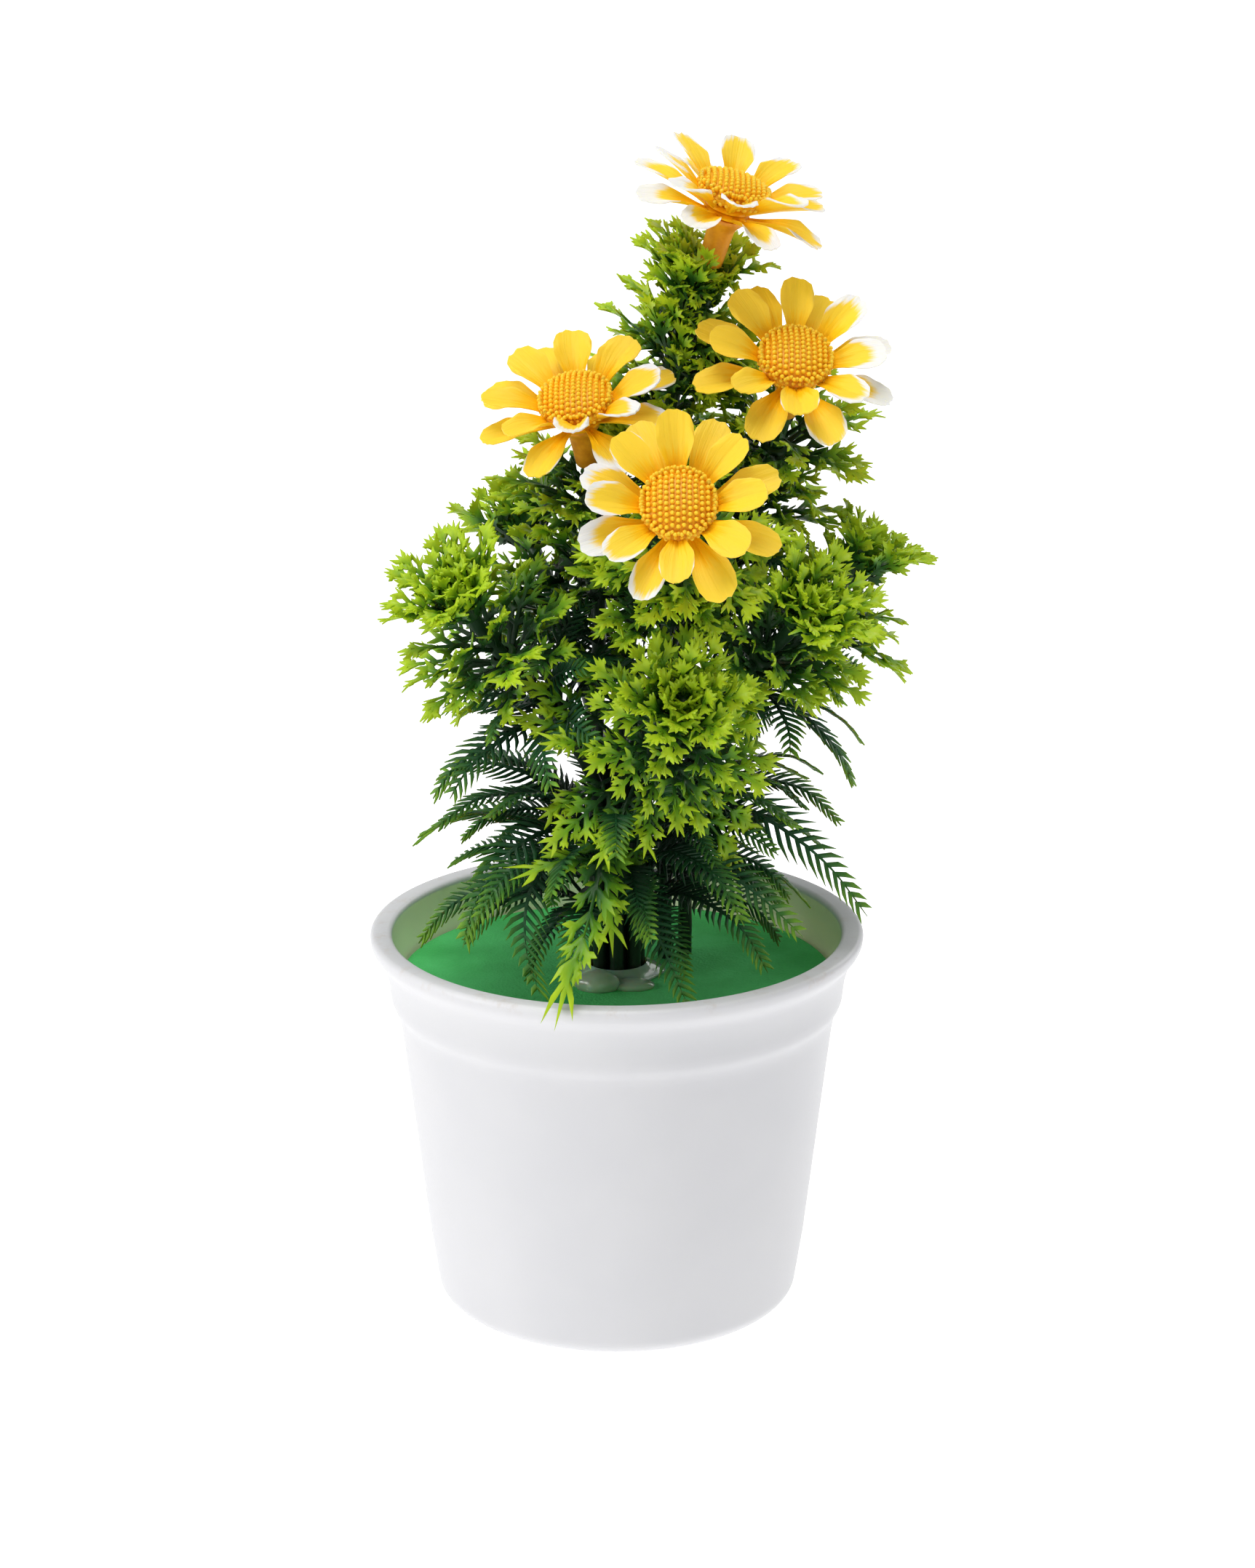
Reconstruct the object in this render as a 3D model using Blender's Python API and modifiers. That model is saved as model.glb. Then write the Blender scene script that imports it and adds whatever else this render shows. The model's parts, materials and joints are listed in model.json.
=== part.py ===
"""Artificial daisy bush in a plastic pot.

The pot holds a foam plug under a green foam disc. Eight plastic stems stand in the plug as one bundle
with glue round its foot, and two more stand beside it. Leaf whorls are threaded on the stems by their
hubs, three fern skirts are threaded over the whole bundle, and a flower head is pushed on the peg at the
end of each of four stems, where it can be turned.

Metres, +Z up. The origin is the middle of the pot's flat base, and -Y is the front.
"""

import itertools
import math

import bmesh
import bpy
from mathutils import Matrix, Vector
from mathutils.bvhtree import BVHTree

MM = 0.001

# Gaps between pieces that touch on the real object, also where one is threaded on or pushed in another, and
# the room that is kept round each hub for its own leaves to start in.
GAP = 0.3 * MM
LEAF_GAP = 0.35 * MM
HUB_ROOM = 1.4 * MM

# Pot
RIM_RADIUS = 45.0 * MM
POT_HEIGHT = 71.5 * MM
WALL = 1.4 * MM
FLOOR = 1.8 * MM
LIP_WIDTH = 2.8 * MM
LIP_HEIGHT = 3.6 * MM
BAND_HEIGHT = 13.5 * MM
BAND_TAPER = 0.9 * MM
SHOULDER_HEIGHT = 6.0 * MM
SHOULDER_STEP = 2.3 * MM
BASE_RADIUS = 33.4 * MM
BASE_CORNER = 4.0 * MM
FOOT_HEIGHT = 0.6 * MM
FOOT_INSET = 1.2 * MM
POT_SEGMENTS = 36

# Filling
DISC_DEPTH = 9.0 * MM
DISC_THICKNESS = 2.0 * MM
PLUG_SEGMENTS = 24
STEM_SOCKET_FLOOR = 9.0 * MM
GLUE_WIDTH = 2.6 * MM
GLUE_HEIGHT = 3.2 * MM
GLUE_OUTLINE = ((0.45, 1.0), (0.85, 0.6), (1.0, 0.0))
GLUE_SEGMENTS = 16

# Stems. The bundle runs straight up to its top, where the stems part.
STEM_RADIUS = 1.3 * MM
STEM_SPACING = 0.8 * MM
STEM_POINTS = 11
STEM_SWEEP = 0.85
PEG_LENGTH = 9.0 * MM
BUNDLE_ABOVE_RIM = 22.5 * MM
FIRST_RING_ANGLE = -90.0

# Hubs of whorls and petal rings
HUB_WALL = 1.0 * MM
SKIRT_HUB_WALL = 1.3 * MM
HUB_HEIGHT = 2.2 * MM
BLADE_THICKNESS = 0.7 * MM

# Flower heads
HEAD_PETALS = 8
PETAL_REACH = 19.0 * MM
PETAL_HALF_WIDTH = 3.3 * MM
PETAL_THICKNESS = 0.6 * MM
PETAL_HUB_RADIUS = 4.0 * MM
PETAL_HUB_HEIGHT = 0.9 * MM
PETAL_OUTLINE = ((0.22, 0.45), (0.76, 1.0), (1.0, 0.5))
LOWER_RISE = 14.0
UPPER_RISE = 33.0
UPPER_SHARE = 0.93
PETAL_BEND = -16.0
CALYX_RADIUS = 2.5 * MM
CALYX_FOOT_RADIUS = 2.2 * MM
CALYX_LENGTH = 9.5 * MM
FLANGE_RADIUS = 3.6 * MM
FLANGE_HEIGHT = 0.8 * MM
SPIGOT_RADIUS = 1.5 * MM
SPIGOT_IN_CENTRE = 1.4 * MM
CALYX_BORE_DEPTH = 6.5 * MM
CENTRE_RADIUS = 7.0 * MM
CENTRE_HEIGHT = 6.2 * MM
CENTRE_OUTLINE = ((0.0, 1.0), (0.6, 0.94), (0.95, 0.76), (1.0, 0.45), (0.49, 0.0))
TURNED_SEGMENTS = 12
CENTRE_SEGMENTS = 14

# The stems of the bundle: the middle one, and the others in order round it, from the front on towards +X.
MIDDLE_STEM = "top_flower"
RING_STEMS = ("front_branch", "front_flower", "right_flower", "back_right_branch", "back_left_branch",
              "left_flower", "left_branch")
# The stems beside the bundle, and where they stand.
SIDE_STEMS = {"right_branch": (8.8 * MM, 9.2 * MM), "far_right_branch": (12.6 * MM, 11.4 * MM)}

# Where each head sits and each branch ends, as x, y and height above the pot's rim, and its direction.
# The places are laid out for heads with this petal reach, and spread as the heads grow.
LAYOUT_REACH = 19.0 * MM
HEAD_SEAT = {
    "front_flower": ((10.7 * MM, -35.0 * MM, 85.0 * MM), (-0.05, -0.78, 0.62)),
    "left_flower": ((-6.4 * MM, -4.5 * MM, 95.0 * MM), (-0.15, -0.46, 0.87)),
    "right_flower": ((30.5 * MM, -5.0 * MM, 103.0 * MM), (0.10, -0.60, 0.79)),
    "top_flower": ((19.0 * MM, 5.0 * MM, 129.5 * MM), (0.28, -0.20, 0.94)),
}
BRANCH_TIP = {
    "left_branch": ((-28.5 * MM, -19.0 * MM, 68.5 * MM), (-0.42, -0.46, 0.78)),
    "front_branch": ((11.5 * MM, -37.0 * MM, 53.5 * MM), (0.06, -0.78, 0.62)),
    "right_branch": ((34.5 * MM, -23.0 * MM, 67.0 * MM), (0.48, -0.52, 0.70)),
    "far_right_branch": ((44.5 * MM, 3.0 * MM, 70.5 * MM), (0.52, 0.10, 0.85)),
    "back_left_branch": ((-18.0 * MM, 25.0 * MM, 71.5 * MM), (-0.38, 0.50, 0.78)),
    "back_right_branch": ((20.0 * MM, 29.0 * MM, 76.5 * MM), (0.22, 0.60, 0.77)),
}

# Leaves: how many there are in a whorl, their length, how steeply they leave the hub, how far they bend
# over on the way to their tips, and their outline as (share of the length, half width).
LACY_OUTLINE = ((0.36, 0.6 * MM), (0.76, 3.3 * MM), (1.0, 0.8 * MM))
FERN_OUTLINE = ((0.12, 0.6 * MM), (0.32, 2.9 * MM), (0.72, 2.6 * MM), (1.0, 0.4 * MM))
LEAVES = {
    "rosette": {"count": 6, "length": 16.0 * MM, "rise": 56.0, "bend": -36.0, "outline": LACY_OUTLINE},
    "lacy": {"count": 6, "length": 19.0 * MM, "rise": 36.0, "bend": -34.0, "outline": LACY_OUTLINE},
    "spray": {"count": 5, "length": 27.0 * MM, "rise": 14.0, "bend": -50.0, "outline": LACY_OUTLINE},
    "fern": {"count": 5, "length": 27.0 * MM, "rise": 30.0, "bend": -56.0, "outline": FERN_OUTLINE},
    "long_fern": {"count": 4, "length": 40.0 * MM, "rise": 44.0, "bend": -92.0, "outline": FERN_OUTLINE},
    "low_skirt": {"count": 6, "length": 43.0 * MM, "rise": 34.0, "bend": -88.0, "outline": FERN_OUTLINE},
    "mid_skirt": {"count": 5, "length": 46.0 * MM, "rise": 42.0, "bend": -88.0, "outline": FERN_OUTLINE},
    "top_skirt": {"count": 6, "length": 43.0 * MM, "rise": 54.0, "bend": -88.0, "outline": FERN_OUTLINE},
}
# Skirts over the bundle: leaf, height of the hub above the pot's rim, angle of the first leaf.
SKIRTS = (("low_skirt", 5.5 * MM, -104.0), ("mid_skirt", 12.5 * MM, -128.0), ("top_skirt", 19.0 * MM, -150.0))
# Whorls on the stems: leaf, distance of the hub from the stem's end, angle of the first leaf.
WHORLS = {
    "left_branch": (("rosette", 6.0 * MM, 20.0), ("lacy", 19.0 * MM, 50.0), ("fern", 34.0 * MM, 200.0)),
    "front_branch": (("rosette", 6.0 * MM, 0.0), ("lacy", 18.0 * MM, 28.0), ("spray", 30.0 * MM, 18.0)),
    "right_branch": (("rosette", 6.0 * MM, 10.0), ("lacy", 18.5 * MM, 40.0)),
    "far_right_branch": (("rosette", 6.0 * MM, 0.0), ("lacy", 18.0 * MM, 30.0), ("fern", 33.0 * MM, -30.0),
                         ("long_fern", 62.0 * MM, -15.0)),
    "back_left_branch": (("rosette", 6.0 * MM, 15.0), ("lacy", 19.0 * MM, 45.0)),
    "back_right_branch": (("rosette", 6.0 * MM, 5.0), ("lacy", 24.0 * MM, 35.0)),
    "front_flower": (("lacy", 15.0 * MM, 10.0), ("lacy", 28.0 * MM, 40.0)),
    "left_flower": (("lacy", 15.0 * MM, 0.0), ("lacy", 29.0 * MM, 30.0), ("fern", 45.0 * MM, 165.0)),
    "right_flower": (("lacy", 15.0 * MM, 20.0), ("lacy", 29.0 * MM, 50.0), ("fern", 44.0 * MM, -20.0)),
    "top_flower": (("rosette", 13.0 * MM, 0.0), ("lacy", 26.0 * MM, 30.0), ("lacy", 40.0 * MM, 0.0)),
}

# How a leaf may be moved aside until it is clear of what is already there: share of its length, degrees of
# lift and degrees of turn. Taking off the whole length would count as much as this many degrees.
LENGTH_SHARES = (1.0, 0.86, 0.72, 0.58, 0.45, 0.34, 0.25)
LIFTS = (0, 9, -9, 18, -18, 27, -27, 36, -36, 45)
TURNS = (0, 7, -7, 14, -14, 21, -21, 28, -28)
SHORTENING_DEGREES = 54

COLOURS = {
    "white_plastic": ((0.86, 0.86, 0.87), 0.42),
    "green_foam": ((0.045, 0.36, 0.10), 0.85),
    "pale_foam": ((0.82, 0.83, 0.80), 0.9),
    "clear_glue": ((0.72, 0.76, 0.68), 0.2),
    "stem_plastic": ((0.012, 0.045, 0.018), 0.5),
    "lime_leaf": ((0.22, 0.46, 0.03), 0.45),
    "fern_leaf": ((0.015, 0.12, 0.03), 0.45),
    "yellow_petal": ((0.95, 0.55, 0.04), 0.5),
    "orange_calyx": ((0.80, 0.33, 0.02), 0.5),
    "golden_centre": ((0.98, 0.50, 0.01), 0.5),
}


# ---------------------------------------------------------------- general tools


def clear_scene():
    for obj in list(bpy.data.objects):
        bpy.data.objects.remove(obj)


def make_collection(name):
    collection = bpy.data.collections.new(name)
    bpy.context.scene.collection.children.link(collection)
    return collection


def make_material(name):
    colour, roughness = COLOURS[name]
    material = bpy.data.materials.new(name)
    material.use_nodes = True
    shader = material.node_tree.nodes["Principled BSDF"]
    shader.inputs["Base Color"].default_value = (*colour, 1.0)
    shader.inputs["Roughness"].default_value = roughness
    shader.inputs["Metallic"].default_value = 0.0
    return material


def add_object(name, data, collection, material=None, matrix=None):
    obj = bpy.data.objects.new(name, data)
    collection.objects.link(obj)
    if material is not None:
        data.materials.append(material)
    if matrix is not None:
        obj.matrix_world = matrix
    return obj


def turned(name, profile, segments, collection, material, matrix=None):
    """A turned solid. The profile is (radius, height) pairs that end by running down its outer side."""
    mesh = bpy.data.meshes.new(name)
    points = [(radius, 0.0, height) for radius, height in profile]
    mesh.from_pydata(points, [(i, i + 1) for i in range(len(points) - 1)], [])
    obj = add_object(name, mesh, collection, material, matrix)
    screw = obj.modifiers.new("turn", "SCREW")
    screw.steps = screw.render_steps = segments
    screw.use_merge_vertices = True
    screw.merge_threshold = 0.00001
    screw.use_smooth_shade = True
    return obj


def drill(obj, name, radius, low, high, at, cutters):
    """Cuts a round hole of this radius through obj, along Z."""
    mesh = bpy.data.meshes.new(name)
    shape = bmesh.new()
    bmesh.ops.create_cone(shape, cap_ends=True, segments=TURNED_SEGMENTS, radius1=radius,
                          radius2=radius, depth=high - low)
    shape.to_mesh(mesh)
    shape.free()
    cutter = add_object(name, mesh, cutters, matrix=Matrix.Translation((*at, (low + high) / 2)))
    cutter.hide_render = True
    cutter.display_type = "WIRE"
    cut = obj.modifiers.new(name, "BOOLEAN")
    cut.operation = "DIFFERENCE"
    cut.object = cutter


def frame_at(point, direction):
    """A frame at point whose Z runs along direction and whose X stays as near the world's X as it can."""
    z = Vector(direction).normalized()
    y = z.cross(Vector((1, 0, 0))).normalized()
    x = y.cross(z)
    matrix = Matrix((x, y, z)).transposed().to_4x4()
    matrix.translation = Vector(point)
    return matrix


# ---------------------------------------------------------------- pot and filling


def band_radius():
    """The outer radius just under the lip."""
    return RIM_RADIUS - LIP_WIDTH


def shoulder_heights():
    """The bottom and top of the sloping step under the band."""
    top = POT_HEIGHT - BAND_HEIGHT
    return top - SHOULDER_HEIGHT, top


def outer_radius(height):
    """The pot's outer radius, from its base corner up to the lip."""
    low, top = shoulder_heights()
    band_foot = band_radius() - BAND_TAPER
    body_top = band_foot - SHOULDER_STEP
    if height >= top:
        share = (height - top) / (POT_HEIGHT - LIP_HEIGHT - top)
        return band_foot + BAND_TAPER * share
    if height >= low:
        return body_top + SHOULDER_STEP * (height - low) / SHOULDER_HEIGHT
    return BASE_RADIUS + (body_top - BASE_RADIUS) * (height - BASE_CORNER) / (low - BASE_CORNER)


def base_corner():
    """The rounded corner between the wall and the foot, from the wall down."""
    middle = BASE_RADIUS - BASE_CORNER
    height = BASE_CORNER - FOOT_HEIGHT
    steps = 4
    angles = [math.radians(90 * i / steps) for i in range(1, steps + 1)]
    return [(middle + BASE_CORNER * math.cos(a), BASE_CORNER - height * math.sin(a)) for a in angles]


def inner_side():
    """The pot's inner side from its floor up to the lip, as (radius, height) pairs."""
    low, top = shoulder_heights()
    corner = (outer_radius(BASE_CORNER) - WALL - BASE_CORNER / 2, FLOOR)
    heights = (BASE_CORNER + FLOOR, low, top, POT_HEIGHT - LIP_HEIGHT)
    return [corner] + [(outer_radius(height) - WALL, height) for height in heights]


def make_pot(collection, material):
    low, top = shoulder_heights()
    lip_foot = POT_HEIGHT - LIP_HEIGHT
    lip_round = LIP_WIDTH / 3
    mouth = band_radius() - WALL
    foot_radius = BASE_RADIUS - BASE_CORNER - FOOT_INSET
    inside = [(0.0, FLOOR)] + inner_side() + [(mouth, POT_HEIGHT - lip_round)]
    rim = [(mouth + lip_round, POT_HEIGHT), (RIM_RADIUS - lip_round, POT_HEIGHT),
           (RIM_RADIUS, POT_HEIGHT - lip_round), (RIM_RADIUS, lip_foot + lip_round)]
    outside = [(outer_radius(h), h) for h in (lip_foot, top, low, BASE_CORNER)]
    foot = [(foot_radius, FOOT_HEIGHT), (foot_radius - FOOT_HEIGHT, 0.0), (0.0, 0.0)]
    profile = inside + rim + outside + base_corner() + foot
    return turned("pot", profile, POT_SEGMENTS, collection, material)


def disc_top():
    return POT_HEIGHT - DISC_DEPTH


def fitted(radius):
    """The largest radius that has its gap inside a wall of this radius, which is made of flat facets."""
    return radius * math.cos(math.pi / POT_SEGMENTS) - GAP


def make_plug(collection, cutters, material):
    """The foam under the disc, with a socket for the bundle and a hole for each stem beside it."""
    top = disc_top() - DISC_THICKNESS - GAP
    socket = bundle_radius() + GAP
    side = [(fitted(outer_radius(top) - WALL), top)]
    side += [(fitted(radius), height + GAP) for radius, height in inner_side()[::-1] if height + GAP < top]
    profile = [(0.0, STEM_SOCKET_FLOOR), (socket, STEM_SOCKET_FLOOR), (socket, top), *side]
    profile.append((0.0, FLOOR + GAP))
    plug = turned("filler_plug", profile, PLUG_SEGMENTS, collection, material)
    for name, at in SIDE_STEMS.items():
        drill(plug, f"plug_hole_{name}", STEM_RADIUS + GAP, STEM_SOCKET_FLOOR, POT_HEIGHT, at, cutters)


def make_disc(collection, cutters, material):
    foot = disc_top() - DISC_THICKNESS
    socket = bundle_radius() + GAP
    radius = fitted(outer_radius(foot) - WALL)
    profile = [(socket, foot), (socket, disc_top()), (radius, disc_top()), (radius, foot), (socket, foot)]
    disc = turned("foam_disc", profile, POT_SEGMENTS, collection, material)
    for name, at in SIDE_STEMS.items():
        drill(disc, f"disc_hole_{name}", STEM_RADIUS + GAP, STEM_SOCKET_FLOOR, POT_HEIGHT, at, cutters)


def make_glue(collection, material):
    """The glue round the bundle's foot."""
    foot = disc_top() + GAP
    inner = bundle_radius() + GAP
    side = [(inner + GLUE_WIDTH * across, foot + GLUE_HEIGHT * up) for across, up in GLUE_OUTLINE]
    profile = [(inner, foot), (inner, foot + GLUE_HEIGHT), *side, (inner, foot)]
    turned("glue_collar", profile, GLUE_SEGMENTS, collection, material)


# ---------------------------------------------------------------- stems


def ring_radius():
    """The ring on which the bundle's outer stems stand, a spacing apart."""
    return (STEM_RADIUS + STEM_SPACING / 2) / math.sin(math.pi / len(RING_STEMS))


def bundle_radius():
    return ring_radius() + STEM_RADIUS


def stem_base(name):
    """Where a stem stands, as (x, y)."""
    if name == MIDDLE_STEM:
        return (0.0, 0.0)
    if name in SIDE_STEMS:
        return SIDE_STEMS[name]
    angle = math.radians(FIRST_RING_ANGLE + 360.0 * RING_STEMS.index(name) / len(RING_STEMS))
    return (ring_radius() * math.cos(angle), ring_radius() * math.sin(angle))


def spread(place):
    """A place from the layout above, in the object's frame, with room for the heads as they are."""
    return Vector(place) * (PETAL_REACH / LAYOUT_REACH) + Vector((0, 0, POT_HEIGHT))


def head_frame(name):
    """A flower head's frame: its Z runs along the peg, and it starts on top of the calyx's flange."""
    place, direction = HEAD_SEAT[name]
    return frame_at(spread(place), direction)


def stem_end(name):
    """The stem's end and its direction there. A flower's stem ends in the calyx's bore."""
    if name in BRANCH_TIP:
        place, direction = BRANCH_TIP[name]
        return spread(place), Vector(direction).normalized()
    seat = head_frame(name)
    bore_end = CALYX_BORE_DEPTH - CALYX_LENGTH - GAP
    return seat @ Vector((0, 0, bore_end)), seat.to_3x3() @ Vector((0, 0, 1))


def stem_line(name):
    """The stem's centre line: straight up in the bundle, a smooth sweep, then a straight peg."""
    x, y = stem_base(name)
    foot = Vector((x, y, STEM_SOCKET_FLOOR + GAP))
    start = Vector((x, y, POT_HEIGHT + BUNDLE_ABOVE_RIM))
    end, direction = stem_end(name)
    peg = end - direction * PEG_LENGTH
    pull = (peg - start).length * STEM_SWEEP
    line = [foot]
    for i in range(STEM_POINTS):
        t = i / (STEM_POINTS - 1)
        line.append(start * (2 * t**3 - 3 * t**2 + 1) + peg * (3 * t**2 - 2 * t**3)
                    + Vector((0, 0, pull)) * (t**3 - 2 * t**2 + t) + direction * pull * (t**3 - t**2))
    line.append(end)
    return line


def place_on_stem(line, from_end):
    """The point this far back from the stem's end, and the stem's direction there."""
    left = from_end
    for a, b in zip(line[-1:0:-1], line[-2::-1]):
        step = (a - b).length
        if left <= step:
            return a.lerp(b, left / step), (a - b).normalized()
        left -= step
    return line[0], Vector((0, 0, 1))


def make_stem(name, line, collection, material):
    curve = bpy.data.curves.new(f"{name}_stem", "CURVE")
    curve.dimensions = "3D"
    curve.bevel_depth = STEM_RADIUS
    curve.bevel_resolution = 1
    curve.use_fill_caps = True
    spline = curve.splines.new("POLY")
    spline.points.add(len(line) - 1)
    for point, place in zip(spline.points, line):
        point.co = (*place, 1.0)
    return add_object(f"{name}_stem", curve, collection, material)


# ---------------------------------------------------------------- leaves and petals


def blade_sections(start, out, length, rise, bend, outline, thickness):
    """Cross-sections of a blade, as (middle, half width vector, half thickness vector), from hub to tip.

    It leaves start at this rise above out, in degrees, and has turned by this bend at its tip."""
    up = Vector((0, 0, 1))
    side = up.cross(out)
    leave = math.radians(rise)
    arrive = math.radians(rise + bend)
    first = out * math.cos(leave) + up * math.sin(leave)
    last = out * math.cos(arrive) + up * math.sin(arrive)
    control = start + first * length * 0.5
    tip = control + last * length * 0.5
    sections = []
    for share, half_width in outline:
        middle = start * (1 - share)**2 + control * 2 * share * (1 - share) + tip * share**2
        along = ((control - start) * (1 - share) + (tip - control) * share).normalized()
        across = along.cross(side) * (thickness / 2)
        sections.append((middle, side * half_width, across))
    return sections


def corners(section, margin=0.0):
    """A section's four corners, moved out by a margin."""
    middle, width, depth = section
    wide = width + width.normalized() * margin
    deep = depth + depth.normalized() * margin
    return [middle - wide - deep, middle + wide - deep, middle + wide + deep, middle - wide + deep]


class Whorl:
    """A hub ring with blades lofted from its outer side, in its own frame: Z is the ring's axis."""

    def __init__(self, bore, outer, height, count, first_angle):
        self.shape = bmesh.new()
        self.count = count
        self.outer = outer
        self.height = height
        self.first_angle = first_angle
        self.sides = 2 * count
        self.hub(bore)

    def angle(self, corner):
        return math.radians(self.first_angle + 360.0 * (corner - 0.5) / self.sides)

    def ring(self, radius, height):
        angles = [self.angle(i) for i in range(self.sides)]
        return [self.shape.verts.new((radius * math.cos(a), radius * math.sin(a), height)) for a in angles]

    def hub(self, bore):
        low, high = -self.height / 2, self.height / 2
        inner = self.ring(bore, low), self.ring(bore, high)
        self.rim = self.ring(self.outer, low), self.ring(self.outer, high)
        for i in range(self.sides):
            j = (i + 1) % self.sides
            self.shape.faces.new((inner[0][j], inner[0][i], inner[1][i], inner[1][j]))
            self.shape.faces.new((inner[0][i], inner[0][j], self.rim[0][j], self.rim[0][i]))
            self.shape.faces.new((inner[1][j], inner[1][i], self.rim[1][i], self.rim[1][j]))
            if i % 2:
                self.shape.faces.new(self.side(i))

    def side(self, i):
        """The corners of one outer side of the ring."""
        low, high = self.rim
        j = (i + 1) % self.sides
        return low[i], low[j], high[j], high[i]

    def out(self, blade):
        """The direction from the axis to a blade's root."""
        a = math.radians(self.first_angle + 360.0 * blade / self.count)
        return Vector((math.cos(a), math.sin(a), 0))

    def root(self, blade):
        return self.out(blade) * self.outer * math.cos(math.pi / self.sides)

    def root_section(self, blade):
        """The hub's side that a blade is lofted from, as a section."""
        half_side = self.outer * math.sin(math.pi / self.sides)
        side = Vector((0, 0, 1)).cross(self.out(blade))
        return self.root(blade), side * half_side, Vector((0, 0, self.height / 2))

    def add_blade(self, blade, sections):
        last = self.side(2 * blade)
        for section in sections:
            now = [self.shape.verts.new(corner) for corner in corners(section)]
            for k in range(4):
                n = (k + 1) % 4
                self.shape.faces.new((last[k], last[n], now[n], now[k]))
            last = now
        self.shape.faces.new(last)

    def finish(self, name, matrix, collection, material):
        bmesh.ops.recalc_face_normals(self.shape, faces=self.shape.faces)
        mesh = bpy.data.meshes.new(name)
        self.shape.to_mesh(mesh)
        self.shape.free()
        return add_object(name, mesh, collection, material, matrix)


class Surroundings:
    """What is already in place, for leaves to be bent clear of."""

    def __init__(self):
        self.found = []

    def add(self, points, faces, owner=None):
        low = [min(p[k] for p in points) for k in range(3)]
        high = [max(p[k] for p in points) for k in range(3)]
        self.found.append((low, high, BVHTree.FromPolygons(points, faces), owner))

    def add_object(self, obj):
        shown = obj.evaluated_get(bpy.context.evaluated_depsgraph_get())
        mesh = shown.to_mesh()
        points = [shown.matrix_world @ v.co for v in mesh.vertices]
        faces = [tuple(p.vertices) for p in mesh.polygons]
        shown.to_mesh_clear()
        self.add(points, faces)

    def clear_of(self, points, faces, owner):
        """Whether a skin is clear of everything but its owner's hub."""
        low = [min(p[k] for p in points) for k in range(3)]
        high = [max(p[k] for p in points) for k in range(3)]
        tree = BVHTree.FromPolygons(points, faces)
        for other_low, other_high, other, other_owner in self.found:
            apart = any(low[k] > other_high[k] or other_low[k] > high[k] for k in range(3))
            if not apart and other_owner != owner and tree.overlap(other):
                return False
        return True


def blade_skin(sections, matrix, margin):
    """The blade's surface with a margin round it, as points and faces in the world."""
    points = [matrix @ corner for section in sections for corner in corners(section, margin)]
    faces = [(0, 1, 2, 3)]
    for s in range(len(sections) - 1):
        for k in range(4):
            n = (k + 1) % 4
            faces.append((4 * s + k, 4 * s + n, 4 * s + 4 + n, 4 * s + 4 + k))
    last = 4 * (len(sections) - 1)
    faces.append((last, last + 1, last + 2, last + 3))
    return points, faces


def ways_aside():
    """The ways to move a leaf aside, the least first, as (share of length, lift, turn)."""
    def effort(way):
        share, lift, turn = way
        return abs(lift) + abs(turn) + SHORTENING_DEGREES * (1 - share)

    return sorted(itertools.product(LENGTH_SHARES, LIFTS, TURNS), key=effort)


class LeafWhorl:
    """A whorl of leaves whose hub is threaded on a stem or on the bundle."""

    def __init__(self, name, leaf, matrix, bore, hub_wall, first_angle):
        self.name = name
        self.leaf = leaf
        self.is_fern = leaf["outline"] is FERN_OUTLINE
        self.matrix = matrix
        corner = math.cos(math.pi / (2 * leaf["count"]))
        self.outer = (bore + hub_wall) / corner
        self.whorl = Whorl(bore / corner, self.outer, HUB_HEIGHT, leaf["count"], first_angle)

    def add_hub_to(self, around):
        """Puts a plain drum in the place of the hub and its room among what is already there."""
        sides = 2 * self.leaf["count"]
        half = HUB_HEIGHT / 2 + LEAF_GAP
        radius = self.outer + HUB_ROOM
        angles = [2 * math.pi * i / sides for i in range(sides)]
        points = [self.matrix @ Vector((radius * math.cos(a), radius * math.sin(a), height))
                  for height in (-half, half) for a in angles]
        faces = [(i, (i + 1) % sides, sides + (i + 1) % sides, sides + i) for i in range(sides)]
        faces += [tuple(range(sides)), tuple(range(sides, 2 * sides))]
        around.add(points, faces, self.name)

    def settle(self, blade, around):
        """The blade's sections, moved aside as little as it takes to be clear of what is around it."""
        leaf = self.leaf
        for share, lift, turn in ways_aside():
            out = Matrix.Rotation(math.radians(turn), 3, "Z") @ self.whorl.out(blade)
            sections = blade_sections(self.whorl.root(blade), out, leaf["length"] * share,
                                      leaf["rise"] + lift, leaf["bend"], leaf["outline"], BLADE_THICKNESS)
            whole = [self.whorl.root_section(blade), *sections]
            if around.clear_of(*blade_skin(whole, self.matrix, LEAF_GAP), self.name):
                break
        around.add(*blade_skin(whole, self.matrix, 0.0))
        return sections

    def make(self, around, collection, material):
        for blade in range(self.leaf["count"]):
            self.whorl.add_blade(blade, self.settle(blade, around))
        self.whorl.finish(self.name, self.matrix, collection, material)


def planned_whorls(lines):
    """Every leaf whorl with its hub in place, the longest leaves first."""
    whorls = []
    for leaf, height, first_angle in SKIRTS:
        matrix = Matrix.Translation((0, 0, POT_HEIGHT + height))
        whorls.append(LeafWhorl(f"fern_{leaf}", LEAVES[leaf], matrix, bundle_radius() + GAP, SKIRT_HUB_WALL,
                                first_angle))
    for stem, places in WHORLS.items():
        for number, (leaf, from_end, first_angle) in enumerate(places, 1):
            matrix = frame_at(*place_on_stem(lines[stem], from_end))
            whorls.append(LeafWhorl(f"{stem}_{leaf}_{number}", LEAVES[leaf], matrix, STEM_RADIUS + GAP,
                                    HUB_WALL, first_angle))
    return sorted(whorls, key=lambda whorl: -whorl.leaf["length"])


# ---------------------------------------------------------------- flower heads


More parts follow.
